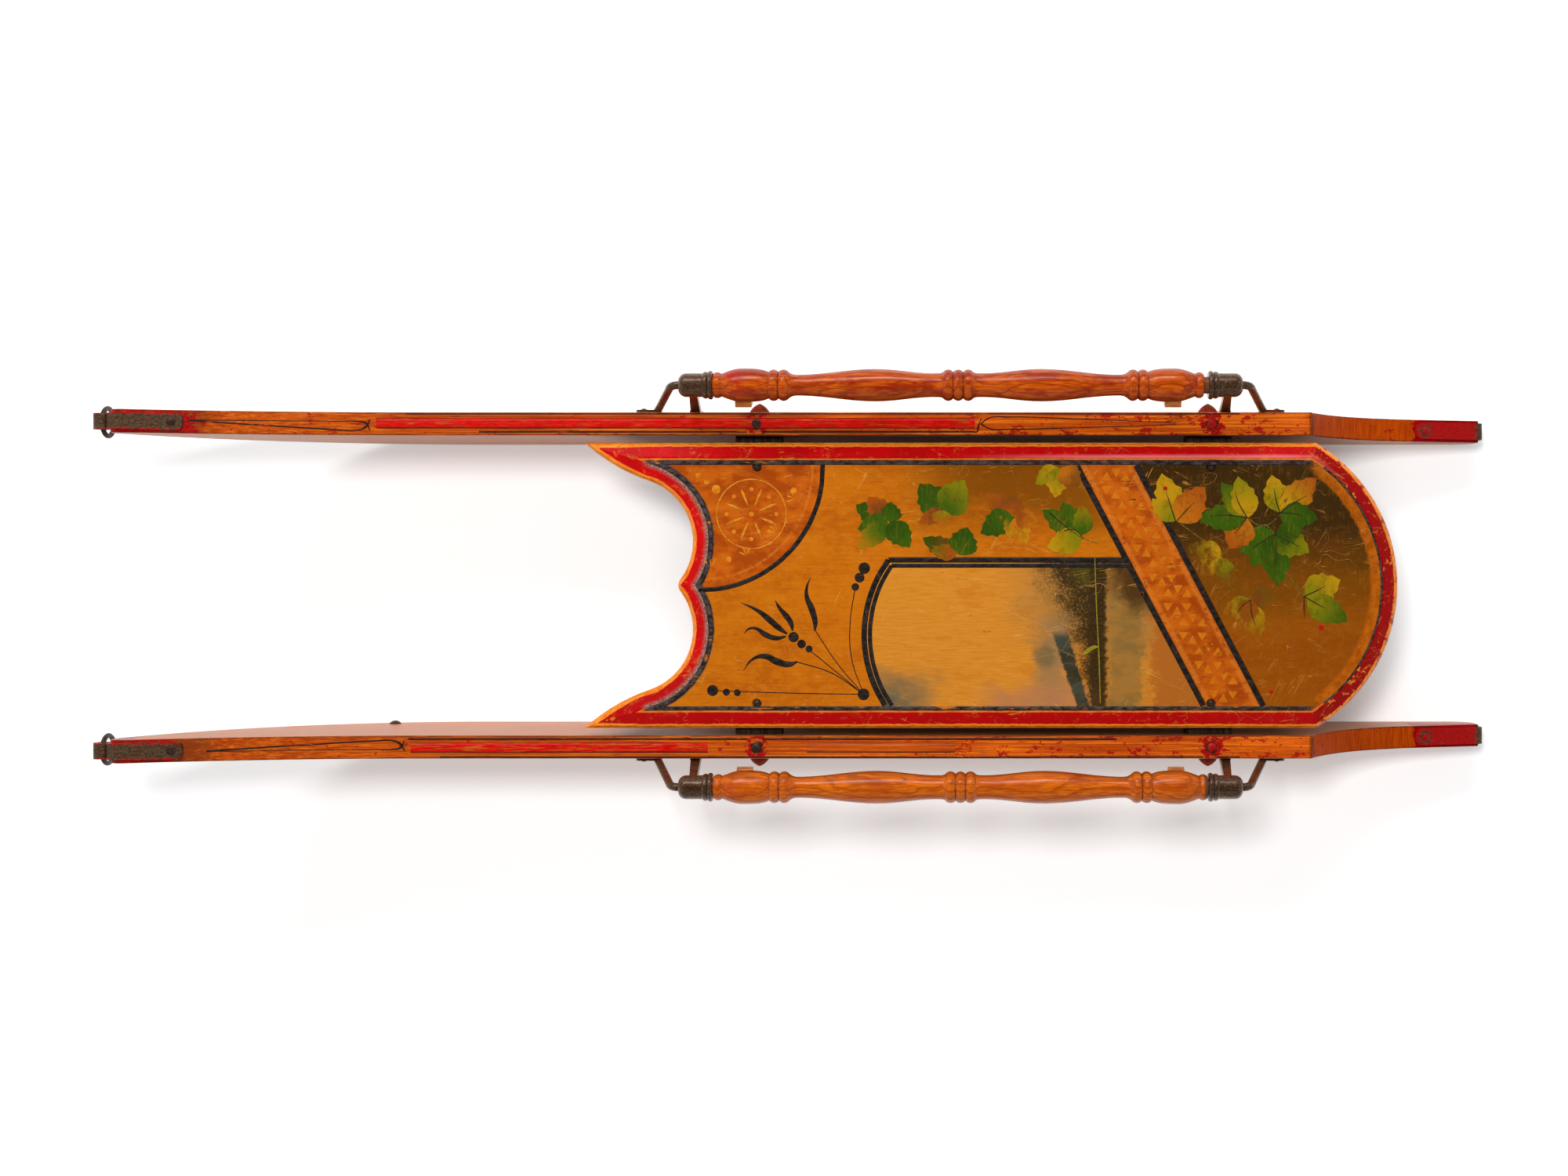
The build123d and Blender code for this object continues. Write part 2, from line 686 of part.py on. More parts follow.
def bracket_screw(x, z):
    base = Vector(x, runner_outer_y + foot_thickness, z)
    shank = rod(base, base - Vector(0, bracket_screw_length, 0), bracket_screw_radius)
    return domed_head(base, Vector(0, 1, 0), bracket_screw_head_radius, bracket_screw_head_height) + shank


def rail_bracket(mouth_x, away):
    """One cast bracket and the two screws that hold it."""
    arm, arm_x = goose_neck(mouth_x, away)
    leg, leg_x = leg_plate(mouth_x, away)
    casting = cup(mouth_x, away) + arm + leg + arm_foot(arm_x, away)
    casting -= cup_bore(mouth_x, away)
    wood_reach = 4 * cup_length
    wood = block(
        Vector(mouth_x - wood_reach, runner_inner_y, 0),
        Vector(mouth_x + wood_reach, runner_outer_y, runner_top_z),
    )
    casting -= wood
    screws = [
        bracket_screw(arm_x + away * (foot_toe - arm_screw_from_toe), foot_mid.Z),
        bracket_screw(leg_x, foot_mid.Z - leg_foot_drop + leg_screw_from_bottom),
    ]
    return without(casting, screws), screws


# ---- Tow rings ----
def tow_ring():
    """A welded ring that hangs through the eye at the nose."""
    centre_z = eye_centre.Z - ring_mid_radius + ring_sag / 2
    plane = Plane(origin=(eye_centre.X, runner_mid_y, centre_z), x_dir=(0, 1, 0), z_dir=(1, 0, 0))
    return plane * Torus(ring_mid_radius, ring_wire_radius)


# ---- Assembly ----
crossbar_stations = {"front": front_crossbar_x, "rear": rear_crossbar_x}
pins = {name: crossbar_pin(x) for name, x in crossbar_stations.items()}
screw_holes = [shoe_screw_hole(x) for x in shoe_screw_stations]
brackets = {"front": rail_bracket(front_mouth_x, -1), "rear": rail_bracket(rear_mouth_x, 1)}
bracket_screws = brackets["front"][1] + brackets["rear"][1]
bolt_places = [(x, y) for x in crossbar_stations.values() for y in (-deck_bolt_y, deck_bolt_y)]
deck_bolts = [deck_bolt(x, y) for x, y in bolt_places]
deck_bolt_recesses = [deck_bolt_recess(x, y) for x, y in bolt_places]

tenon_holes = [tenon(x, runner_inner_y - 1, runner_outer_y + 1) for x in crossbar_stations.values()]
runner_cuts = [*tenon_holes, *pins.values(), *screw_holes, nose_rivet, tail_rivet, *bracket_screws]
board = without(runner_board(), runner_cuts)
shoe = without(runner_shoe(), [*screw_holes, nose_rivet, tail_rivet])
nose_bolt = runner_bolt()

nodes["deck_board"] = [without(deck_board(), [*deck_bolt_recesses, *deck_bolts])]
for name, x in crossbar_stations.items():
    both_pins = [pins[name], mirrored(pins[name])]
    nodes[f"{name}_crossbar"] = [without(crossbar(x), [*both_pins, *deck_bolts])]
    nodes[f"{name}_crossbar_pins"] = both_pins
nodes["right_runner"] = [board]
nodes["left_runner"] = [mirrored(without(board, [nose_bolt]))]
nodes["left_runner_bolt"] = [mirrored(nose_bolt)]
nodes["nose_strap_rivets"] = [nose_rivet, mirrored(nose_rivet)]
nodes["tail_strap_rivets"] = [tail_rivet, mirrored(tail_rivet)]
shoe_screws = [shoe_screw(x) for x in shoe_screw_stations]
nodes["shoe_screws"] = shoe_screws + [mirrored(screw) for screw in shoe_screws]
nodes["deck_bolts"] = deck_bolts
nodes["deck_washers"] = [deck_washer(x, y) for x, y in bolt_places]
nodes["deck_nuts"] = [deck_nut(x, y) for x, y in bolt_places]
nodes["bracket_screws"] = bracket_screws + [mirrored(screw) for screw in bracket_screws]
for side in ("right", "left"):
    plugs = [rail_plug(side, -1), rail_plug(side, 1)]
    nodes[f"{side}_runner_shoe"] = [placed_side(shoe, side)]
    nodes[f"{side}_hand_rail"] = [without(hand_rail(side), plugs)]
    nodes[f"{side}_rail_plugs"] = plugs
    nodes[f"{side}_tow_ring"] = [placed_side(tow_ring(), side)]
    for name, (casting, _) in brackets.items():
        nodes[f"{side}_{name}_bracket"] = [placed_side(casting, side)]

os.makedirs("parts", exist_ok=True)
for name, shapes in nodes.items():
    solids = [solid for shape in shapes for solid in shape.solids()]
    export_step(Compound(children=solids, label=name), f"parts/{name}.step")
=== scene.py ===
import math

import bpy
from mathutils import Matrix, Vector


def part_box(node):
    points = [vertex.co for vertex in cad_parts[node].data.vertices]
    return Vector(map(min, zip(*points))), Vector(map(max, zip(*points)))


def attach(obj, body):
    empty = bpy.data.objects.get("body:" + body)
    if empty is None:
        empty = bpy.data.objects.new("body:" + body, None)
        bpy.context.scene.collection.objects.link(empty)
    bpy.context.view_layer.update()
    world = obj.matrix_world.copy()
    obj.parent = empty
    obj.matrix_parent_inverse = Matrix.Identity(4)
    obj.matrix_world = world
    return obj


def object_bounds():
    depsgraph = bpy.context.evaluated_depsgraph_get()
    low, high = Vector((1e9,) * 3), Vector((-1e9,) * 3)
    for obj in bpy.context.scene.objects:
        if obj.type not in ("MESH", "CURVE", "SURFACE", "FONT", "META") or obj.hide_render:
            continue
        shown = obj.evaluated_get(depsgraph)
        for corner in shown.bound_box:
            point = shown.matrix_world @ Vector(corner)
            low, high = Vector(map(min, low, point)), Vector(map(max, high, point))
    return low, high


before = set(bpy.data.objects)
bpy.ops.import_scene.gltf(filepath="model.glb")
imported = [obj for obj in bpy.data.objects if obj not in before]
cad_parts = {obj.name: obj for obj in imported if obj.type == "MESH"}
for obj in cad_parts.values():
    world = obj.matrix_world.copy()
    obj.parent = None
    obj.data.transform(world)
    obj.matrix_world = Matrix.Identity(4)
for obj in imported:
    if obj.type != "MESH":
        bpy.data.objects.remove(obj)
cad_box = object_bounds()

# A painted child's runner sled. The tables hold millimetres, and MM turns them into metres.
# Deck places are (distance behind the horn tips, distance right of the centre line).
MM = 0.001

# ---- Places read from the frame ----
deck_low, deck_high = [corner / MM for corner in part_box("deck_board")]
runner_low, runner_high = [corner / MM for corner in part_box("right_runner")]
rail_low, rail_high = [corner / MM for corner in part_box("right_hand_rail")]
horn_x, deck_rear_x = deck_low.x, deck_high.x
deck_half_width, deck_top_z = deck_high.y, deck_high.z
nose_x = cad_box[0].x / MM
runner_mid_y = (runner_low.y + runner_high.y) / 2
rail_mid_x = (rail_low.x + rail_high.x) / 2
pin_stations = [
    sum(corner.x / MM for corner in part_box(f"{end}_crossbar_pins")) / 2 for end in ("front", "rear")]
rail_axis_y = (rail_low.y + rail_high.y) / 2
rail_axis_z = (rail_low.z + rail_high.z) / 2


def circle_through(a, b, c):
    """The centre and radius of the circle through three points of the plan."""
    (ax, ay), (bx, by), (cx, cy) = a, b, c
    double_area = 2 * (ax * (by - cy) + bx * (cy - ay) + cx * (ay - by))
    a_square, b_square, c_square = ax**2 + ay**2, bx**2 + by**2, cx**2 + cy**2
    x = (a_square * (by - cy) + b_square * (cy - ay) + c_square * (ay - by)) / double_area
    y = (a_square * (cx - bx) + b_square * (ax - cx) + c_square * (bx - ax)) / double_area
    return x, y, math.hypot(ax - x, ay - y)


# ---- The deck's outline, on its right half ----
shoulder_x = 604.5
horn_arc = circle_through((0, deck_half_width), (27.5, 98), (54.5, 86))
bite_arc = circle_through((54.5, 86), (89.5, 40), (79.7, 5.5))
rear_arc = circle_through(
    (shoulder_x, deck_half_width), (deck_rear_x - horn_x, 0), (shoulder_x, -deck_half_width)
)

# ---- The painted layout ----
LIP, RED, BARE, INLINE = 3.4, 13.2, 14.6, 18.2  # border bands, in from the edge
FAN = (96.5, 96.9, 100.8)
ROSETTE = (138.5, 58.8)
BAND_SLANT = 0.528
BAND_START, BAND_END = 458.7, 507.9
PANEL_TOP = 21.0
PANEL_FOOT = -99.0
POST = (416.5, 431.0)  # the panel's dark post, from and to
PANEL_ARC = circle_through((252.2, 22), (231.5, -43.3), (249, -99.5))

# ---- Places along a runner, behind the nose ----
CREASE = 989.0  # where the straight top ends
TAIL_TAB, TAIL_RIVET, TAIL_TAB_END = 1092.0, 1104.0, 1149.0
NOSE_TAB = 76.0

# ---- Colours ----
AMBER = (0.56, 0.150, 0.003)
AMBER_PALE = (0.64, 0.185, 0.006)
AMBER_BROWN = (0.44, 0.100, 0.002)
BLACK = (0.012, 0.008, 0.006)
BORDER_RED = (0.66, 0.001, 0.003)
STRIPE_RED = (0.72, 0.004, 0.001)
BARE_ORANGE = (0.72, 0.20, 0.02)


class Finish:
    """A finish built from shader nodes on the object's own coordinates, in millimetres."""

    def __init__(self, name):
        self.material = bpy.data.materials.new(name)
        self.material.use_nodes = True
        self.tree = self.material.node_tree
        self.shader = self.tree.nodes["Principled BSDF"]
        source = self.add("ShaderNodeTexCoord")
        scaled = self.vector("SCALE", source.outputs["Object"])
        scaled.inputs["Scale"].default_value = 1 / MM
        self.place = scaled.outputs[0]
        parts = self.add("ShaderNodeSeparateXYZ")
        self.feed(parts.inputs[0], self.place)
        self.x, self.y, self.z = parts.outputs
        self.side_y = self.sum("ABSOLUTE", self.y)
        facing = self.add("ShaderNodeSeparateXYZ")
        self.feed(facing.inputs[0], source.outputs["Normal"])
        self.up = facing.outputs[2]

    def add(self, kind):
        return self.tree.nodes.new(kind)

    def feed(self, socket, value):
        """Links a socket's output, or sets a plain value."""
        if isinstance(value, bpy.types.NodeSocket):
            self.tree.links.new(value, socket)
        elif isinstance(value, tuple) and len(value) == 3 and socket.type == "RGBA":
            socket.default_value = (*value, 1)
        else:
            socket.default_value = value

    def vector(self, operation, a, b=None):
        node = self.add("ShaderNodeVectorMath")
        node.operation = operation
        self.feed(node.inputs[0], a)
        if b is not None:
            self.feed(node.inputs[1], b)
        return node

    def sum(self, operation, a, b=0.0, c=0.0):
        """One step of arithmetic."""
        node = self.add("ShaderNodeMath")
        node.operation = operation
        for socket, value in zip(node.inputs, (a, b, c)):
            self.feed(socket, value)
        return node.outputs[0]

    def fade(self, value, low, high, most=1.0):
        """0 below low, most above high and smooth between. It falls if low is above high."""
        node = self.add("ShaderNodeMapRange")
        node.interpolation_type = "SMOOTHSTEP"
        self.feed(node.inputs["Value"], value)
        if low < high:
            limits = (low, high, 0.0, most)
        else:
            limits = (high, low, most, 0.0)
        for socket, limit in zip(node.inputs[1:5], limits):
            socket.default_value = limit
        return node.outputs[0]

    def outside(self, share):
        """What a share leaves over."""
        return self.sum("SUBTRACT", 1.0, share)

    def ragged(self, value, cloud, reach):
        """A distance that noise moves to and fro, so that an edge drawn with it is uneven."""
        return self.sum("ADD", value, self.sum("MULTIPLY", self.sum("SUBTRACT", cloud, 0.5), reach))

    def cover(self, under, tone, *shares):
        """A colour with a tone laid over it where every share holds."""
        return self.mix(self.both(*shares), under, tone)

    def between(self, value, low, high, soft):
        """1 from low to high, with soft ends."""
        rise = self.fade(value, low - soft, low + soft)
        fall = self.fade(value, high + soft, high - soft)
        return self.sum("MULTIPLY", rise, fall)

    def both(self, *shares):
        total = shares[0]
        for share in shares[1:]:
            total = self.sum("MULTIPLY", total, share)
        return total

    def either(self, *shares):
        total = shares[0]
        for share in shares[1:]:
            total = self.sum("MAXIMUM", total, share)
        return total

    def noise(self, size, detail=4.0, stretch=(1, 1, 1), shift=(0, 0, 0), rough=0.55, place=None):
        """Cloudy noise about 0.5, with patches of the given size, longer along a stretched axis."""
        mapping = self.add("ShaderNodeMapping")
        self.feed(mapping.inputs["Vector"], self.place if place is None else place)
        mapping.inputs["Location"].default_value = shift
        mapping.inputs["Scale"].default_value = [1 / (size * factor) for factor in stretch]
        cloud = self.add("ShaderNodeTexNoise")
        self.feed(cloud.inputs["Vector"], mapping.outputs[0])
        cloud.inputs["Scale"].default_value = 1.0
        cloud.inputs["Detail"].default_value = detail
        cloud.inputs["Roughness"].default_value = rough
        return cloud.outputs["Fac"]

    def mix(self, share, a, b, blend="MIX"):
        node = self.add("ShaderNodeMix")
        node.data_type = "RGBA"
        node.blend_type = blend
        self.feed(node.inputs[0], share)
        self.feed(node.inputs[6], a)
        self.feed(node.inputs[7], b)
        return node.outputs[2]

    def blend(self, share, a, b):
        """A number between a and b."""
        return self.sum("ADD", a, self.sum("MULTIPLY", share, self.sum("SUBTRACT", b, a)))

    def distance(self, x, y, centre_x, centre_y):
        spot = self.add("ShaderNodeCombineXYZ")
        self.feed(spot.inputs[0], x)
        self.feed(spot.inputs[1], y)
        return self.vector("DISTANCE", spot.outputs[0], (centre_x, centre_y, 0)).outputs["Value"]

    def scratch(self, size, width, shift, stretch=(1, 1, 1)):
        """Thin broken lines, such as scratches or cracks."""
        line = self.noise(size, 2.0, stretch, shift)
        away = self.sum("ABSOLUTE", self.sum("SUBTRACT", line, 0.5))
        broken = self.fade(self.noise(size * 0.8, 2.0, (1, 1, 1), (shift[0] + 7, 3, 1)), 0.52, 0.60)
        return self.both(self.fade(away, width, 0.0), broken)

    def straight_scratches(self, angle, shift):
        """A few long straight scratches that run at an angle."""
        turned = self.add("ShaderNodeMapping")
        self.feed(turned.inputs["Vector"], self.place)
        turned.inputs["Rotation"].default_value = (0, 0, math.radians(-angle))
        line = self.noise(3.0, 1.0, (26, 1, 1), shift, 0.4, turned.outputs[0])
        away = self.sum("ABSOLUTE", self.sum("SUBTRACT", line, 0.56))
        few = self.fade(
            self.noise(13, 2.0, (2, 1, 1), (shift[1], 5, 2), 0.5, turned.outputs[0]), 0.60, 0.64)
        return self.both(self.fade(away, 0.014, 0.004), few)

    def crevice(self, reach):
        """1 in narrow corners and grooves of the piece itself."""
        node = self.add("ShaderNodeAmbientOcclusion")
        node.only_local = True
        node.samples = 6
        node.inputs["Distance"].default_value = reach * MM
        return self.fade(node.outputs["AO"], 0.92, 0.45)

    def finish(self, colour, roughness, height=None, depth=0.1, metal=0.0, gloss=0.4, coat=0.0,
               coat_roughness=0.12):
        """Feeds the shader. Height is a share of depth, in millimetres."""
        self.feed(self.shader.inputs["Base Color"], colour)
        self.feed(self.shader.inputs["Roughness"], roughness)
        self.feed(self.shader.inputs["Metallic"], metal)
        self.feed(self.shader.inputs["Specular IOR Level"], gloss)
        self.shader.inputs["Coat Weight"].default_value = coat
        self.shader.inputs["Coat Roughness"].default_value = coat_roughness
        if height is not None:
            relief = self.add("ShaderNodeBump")
            relief.inputs["Strength"].default_value = 1.0
            relief.inputs["Distance"].default_value = depth * MM
            self.feed(relief.inputs["Height"], height)
            self.feed(self.shader.inputs["Normal"], relief.outputs[0])
        return self.material


# ---- Wood and old varnish ----
def deck_wood(paint):
    """The deck's amber varnish over straight-grained board: a colour and a height."""
    behind = paint.sum("SUBTRACT", paint.x, horn_x)
    grain = paint.noise(1.1, 6.0, (20, 1, 1), (3, 1, 0), 0.68)
    brushed = paint.noise(0.8, 3.0, (1, 18, 1), (0, 5, 2))
    cloud = paint.noise(38, 5.0, (1.5, 1, 1), (1, 2, 3), 0.6)
    mottle = paint.noise(5, 5.0, (1.5, 1, 1), (4, 2, 9), 0.65)
    colour = paint.mix(paint.fade(cloud, 0.34, 0.62), AMBER_BROWN, AMBER)
    colour = paint.cover(colour, AMBER_PALE, paint.fade(mottle, 0.40, 0.66), 0.5)
    colour = paint.cover(colour, AMBER_PALE, paint.fade(grain, 0.52, 0.68), 0.55)
    colour = paint.cover(colour, AMBER_BROWN, paint.fade(grain, 0.48, 0.34), 0.55)
    colour = paint.cover(colour, AMBER_BROWN, paint.fade(brushed, 0.56, 0.74), 0.22)
    pore = paint.fade(paint.noise(0.9, 2.0, (6, 1, 1), (9, 4, 2)), 0.66, 0.74, 0.6)
    colour = paint.mix(pore, colour, (0.16, 0.045, 0.003))
    slant = paint.sum("ADD", behind, paint.sum("MULTIPLY", paint.y, BAND_SLANT))
    patchy = paint.sum("MULTIPLY", paint.sum("SUBTRACT", cloud, 0.5), 70.0)
    # Dark shading behind the leaves, before and behind the slanting band.
    front_shade = paint.both(
        paint.fade(paint.sum("ADD", behind, patchy), 240.0, 330.0),
        paint.fade(paint.sum("ADD", paint.y, patchy), 28.0, 78.0),
        paint.fade(slant, 470.0, 450.0),
        0.85,
    )
    colour = paint.mix(front_shade, colour, (0.17, 0.050, 0.001))
    behind_band = paint.fade(slant, 486.0, 490.0)
    fall = paint.sum("ADD", paint.y, paint.sum("MULTIPLY", patchy, 0.8))
    colour = paint.cover(
        colour, (0.13, 0.040, 0.001), behind_band, paint.fade(fall, -66.0, 0.0), 0.85)
    colour = paint.cover(
        colour, (0.036, 0.018, 0.003), behind_band, paint.fade(fall, 2.0, 54.0), 0.94)
    low_shade = paint.both(behind_band, paint.fade(fall, 10.0, -60.0), 0.75)
    colour = paint.mix(low_shade, colour, (0.22, 0.048, 0.001))
    cloth = paint.both(
        behind_band, paint.fade(brushed, 0.46, 0.66), paint.fade(mottle, 0.45, 0.62), 0.22)
    colour = paint.mix(cloth, colour, (0.42, 0.15, 0.012))
    height = paint.sum(
        "ADD", paint.sum("MULTIPLY", grain, 0.6), paint.sum("MULTIPLY", brushed, 0.4))
    return colour, height


def runner_wood(paint):
    """Amber varnish over open-grained ash: a colour and a height."""
    grain = paint.noise(1.5, 5.0, (60, 1, 1), (2, 0, 5), 0.6)
    fine = paint.noise(0.55, 3.0, (24, 1, 1), (0, 8, 1))
    cloud = paint.noise(30, 3.0, (4, 1, 1), (6, 1, 2))
    colour = paint.mix(paint.fade(cloud, 0.38, 0.64), (0.40, 0.050, 0.003), (0.56, 0.085, 0.004))
    colour = paint.mix(paint.fade(grain, 0.48, 0.68), colour, (0.68, 0.150, 0.009))
    colour = paint.cover(colour, (0.27, 0.030, 0.002), paint.fade(grain, 0.48, 0.36), 0.65)
    colour = paint.cover(colour, (0.13, 0.018, 0.002), paint.fade(fine, 0.58, 0.70), 0.70)
    height = paint.sum("SUBTRACT", grain, paint.fade(fine, 0.58, 0.70, 0.7))
    return colour, height


def worn(paint, amount, size=2.2, shift=(0, 0, 0), stretch=(9, 1, 1)):
    """1 where paint still holds, 0 where it has rubbed off along the grain."""
    rub = paint.noise(size, 5.0, stretch, shift, 0.65)
    return paint.fade(rub, amount - 0.035, amount + 0.035)


def deck_measures(paint):
    """How far a spot lies behind the horn tips, and the same along the band's slant."""
    behind = paint.sum("SUBTRACT", paint.x, horn_x)
    return behind, paint.sum("ADD", behind, paint.sum("MULTIPLY", paint.y, BAND_SLANT))


def deck_edge(paint, behind):
    """How far a spot lies in from the deck's edge, plain and brushed, and where the edge is cut out
    or round."""
    wobble = paint.noise(7, 3.0, (3, 3, 1), (4, 4, 4))
    wave = paint.sum("MULTIPLY", paint.sum("SUBTRACT", wobble, 0.5), 3.0)

    from_side = paint.sum("SUBTRACT", deck_half_width, paint.side_y)
    past_middle = paint.sum("MAXIMUM", behind, rear_arc[0])
    from_rear = paint.sum(
        "SUBTRACT", rear_arc[2], paint.distance(past_middle, paint.side_y, rear_arc[0], 0))
    from_bite = paint.sum(
        "SUBTRACT", paint.distance(behind, paint.side_y, bite_arc[0], bite_arc[1]), bite_arc[2])
    from_horn = paint.sum(
        "SUBTRACT", horn_arc[2], paint.distance(behind, paint.side_y, horn_arc[0], horn_arc[1]))
    past_horn = paint.sum("MULTIPLY", paint.sum("GREATER_THAN", behind, 62.0), 500.0)
    from_horn = paint.sum("ADD", from_horn, past_horn)
    inward = paint.sum("MINIMUM", from_side, from_rear)
    inward = paint.sum("MINIMUM", inward, from_bite)
    inward = paint.sum("MINIMUM", inward, from_horn)
    edge = paint.sum("ADD", inward, paint.sum("MULTIPLY", wave, 0.35))
    in_bite = paint.both(paint.fade(paint.sum("SUBTRACT", from_bite, inward), 1.5, 0.0),
                         paint.fade(behind, 140.0, 110.0))
    at_rear = paint.both(paint.fade(paint.sum("SUBTRACT", from_rear, inward), 1.0, 0.0),
                         paint.fade(behind, 595.0, 610.0))
    return inward, edge, in_bite, at_rear


def orange_fields(paint, colour, behind, slant):
    """The quarter fan and the slanting band, with their pale rims."""
    blotch = paint.noise(12, 5.0, (1.6, 1, 1), (5, 0, 0), 0.6)
    orange = paint.mix(paint.fade(blotch, 0.38, 0.62), (0.36, 0.050, 0.002), (0.56, 0.110, 0.004))
    orange = paint.mix(paint.fade(blotch, 0.62, 0.76), orange, (0.66, 0.17, 0.012))
    reach = paint.distance(behind, paint.y, FAN[0], FAN[1])
    fan = paint.fade(reach, FAN[2] + 0.5, FAN[2] - 0.5)
    band = paint.between(slant, BAND_START, BAND_END, 0.6)
    colour = paint.cover(colour, orange, paint.either(fan, band), 0.92)
    rims = paint.either(paint.between(slant, BAND_START + 3.5, BAND_START + 8.0, 1.6),
                        paint.between(slant, BAND_END - 8.0, BAND_END - 3.5, 1.6),
                        paint.between(reach, FAN[2] - 9.5, FAN[2] - 7.5, 0.7))
    rim_paint = paint.both(
        rims, paint.either(fan, band), worn(paint, 0.44, 5, (3, 2, 1), (1, 1, 1)), 0.55)
    colour = paint.mix(rim_paint, colour, (0.66, 0.19, 0.02))
    return colour


def panel_wash(paint, behind, slant):
    """The panel and its worn wash: pale amber, haze, a dark thicket and a post."""
    in_arc = paint.fade(
        paint.distance(behind, paint.y, PANEL_ARC[0], PANEL_ARC[1]), PANEL_ARC[2] + 0.4,
        PANEL_ARC[2] - 0.4)
    in_panel = paint.both(paint.either(in_arc, paint.fade(behind, 300.0, 302.0)),
                          paint.fade(paint.y, PANEL_TOP + 0.4, PANEL_TOP - 0.4),
                          paint.fade(slant, BAND_START, BAND_START - 0.8))
    grain = paint.noise(0.9, 5.0, (16, 1, 1), (8, 2, 4), 0.65)
    ragged = paint.sum(
        "MULTIPLY", paint.sum("SUBTRACT", paint.noise(5, 5.0, (1, 1, 1), (2, 3, 3), 0.65), 0.5),
        16.0)
    drift = paint.sum(
        "MULTIPLY", paint.sum("SUBTRACT", paint.noise(22, 4.0, (1.4, 1, 1), (2, 7, 1), 0.6), 0.5),
        60.0)
    wash = paint.mix(paint.fade(grain, 0.34, 0.66), (0.60, 0.205, 0.014), (0.68, 0.260, 0.028))
    smudge = paint.noise(16, 5.0, (2.2, 1, 1), (5, 5, 2), 0.6)
    wash = paint.cover(wash, (0.56, 0.165, 0.006), paint.fade(smudge, 0.54, 0.70), 0.6)
    knot = paint.fade(paint.noise(4.0, 2.0, (2.4, 1, 1), (3, 12, 2), 0.5), 0.70, 0.78, 0.6)
    wash = paint.mix(knot, wash, (0.30, 0.085, 0.008))
    drifted = paint.sum("ADD", behind, drift)
    lifted = paint.sum("ADD", paint.y, paint.sum("MULTIPLY", drift, 0.6))
    haze = paint.both(paint.fade(drifted, 306.0, 254.0), paint.fade(lifted, -58.0, -94.0), 0.9)
    wash = paint.mix(haze, wash, (0.12, 0.115, 0.062))
    corner = paint.both(paint.fade(drifted, 274.0, 240.0), paint.fade(paint.y, -84.0, -98.0), 0.8)
    wash = paint.mix(corner, wash, (0.055, 0.080, 0.075))
    dusk = paint.both(paint.fade(drifted, 335.0, 398.0), paint.fade(lifted, -70.0, -30.0), 0.60)
    wash = paint.mix(dusk, wash, (0.27, 0.155, 0.050))
    mist = paint.both(
        paint.between(drifted, 372.0, 396.0, 9.0), paint.fade(lifted, -18.0, -40.0), 0.7)
    wash = paint.mix(mist, wash, (0.24, 0.160, 0.075))
    rose = paint.both(
        paint.between(drifted, 330.0, 420.0, 16.0), paint.fade(lifted, -74.0, -92.0), 0.8)
    wash = paint.mix(rose, wash, (0.46, 0.185, 0.070))
    drifted_far = paint.sum("ADD", behind, paint.sum("MULTIPLY", ragged, 1.6))
    after_post = paint.between(drifted_far, 431.0, 462.0, 6.0)
    streaky = paint.mix(paint.fade(smudge, 0.36, 0.60), (0.22, 0.125, 0.030), (0.34, 0.160, 0.030))
    wash = paint.cover(wash, streaky, after_post, 0.92)
    far_side = paint.fade(drifted_far, 462.0, 474.0)
    wash = paint.mix(far_side, wash, (0.42, 0.125, 0.014))
    smear = paint.both(
        paint.fade(paint.sum("ADD", slant, paint.sum("MULTIPLY", drift, 0.5)), 428.0, 446.0),
        paint.fade(lifted, -36.0, -8.0), 0.85)
    wash = paint.mix(smear, wash, (0.034, 0.012, 0.004))
    speckle = paint.noise(1.9, 4.0, (1, 1, 1), (1, 1, 8), 0.7)
    thicket_line = paint.sum("ADD", drifted, paint.sum("MULTIPLY", paint.y, 0.42))
    dense = paint.both(paint.fade(thicket_line, 368.0, 398.0), paint.fade(behind, 432.0, 428.0))
    thicket = paint.both(
        dense,
        paint.fade(paint.sum("ADD", speckle, paint.sum("MULTIPLY", dense, 0.14)), 0.53, 0.60))
    wash = paint.cover(wash, (0.085, 0.050, 0.014), dense, 0.60)
    wash = paint.cover(wash, (0.032, 0.020, 0.006), thicket, 0.92)
    moss = paint.both(
        paint.between(drifted, 405.0, 425.0, 6.0), paint.fade(lifted, -6.0, 6.0), 0.55)
    wash = paint.mix(moss, wash, (0.075, 0.070, 0.004))
    rough_x = paint.sum("ADD", behind, ragged)
    post = paint.both(paint.between(rough_x, *POST, 1.8), 0.93)
    wash = paint.mix(
        post, wash,
        paint.mix(paint.fade(speckle, 0.40, 0.60), (0.024, 0.013, 0.004), (0.062, 0.032, 0.008)))
    calm_x = paint.sum("ADD", behind, paint.sum("MULTIPLY", ragged, 0.4))
    teal_left = paint.sum("ADD", calm_x, paint.sum("MULTIPLY", paint.y, 0.333))
    teal_right = paint.sum("ADD", calm_x, paint.sum("MULTIPLY", paint.y, 0.29))
    teal = paint.both(paint.fade(teal_left, 372.4, 374.8), paint.fade(teal_right, 389.2, 386.8),
                      paint.fade(paint.y, -36.0, -44.0), 0.94)
    blue_green = paint.mix(
        paint.fade(smudge, 0.40, 0.60), (0.010, 0.022, 0.016), (0.034, 0.052, 0.036))
    patch = paint.fade(paint.distance(rough_x, paint.y, 381, -58), 14.0, 5.0, 0.7)
    wash = paint.mix(patch, wash, (0.13, 0.105, 0.045))
    wash = paint.mix(teal, wash, blue_green)
    return in_panel, wash


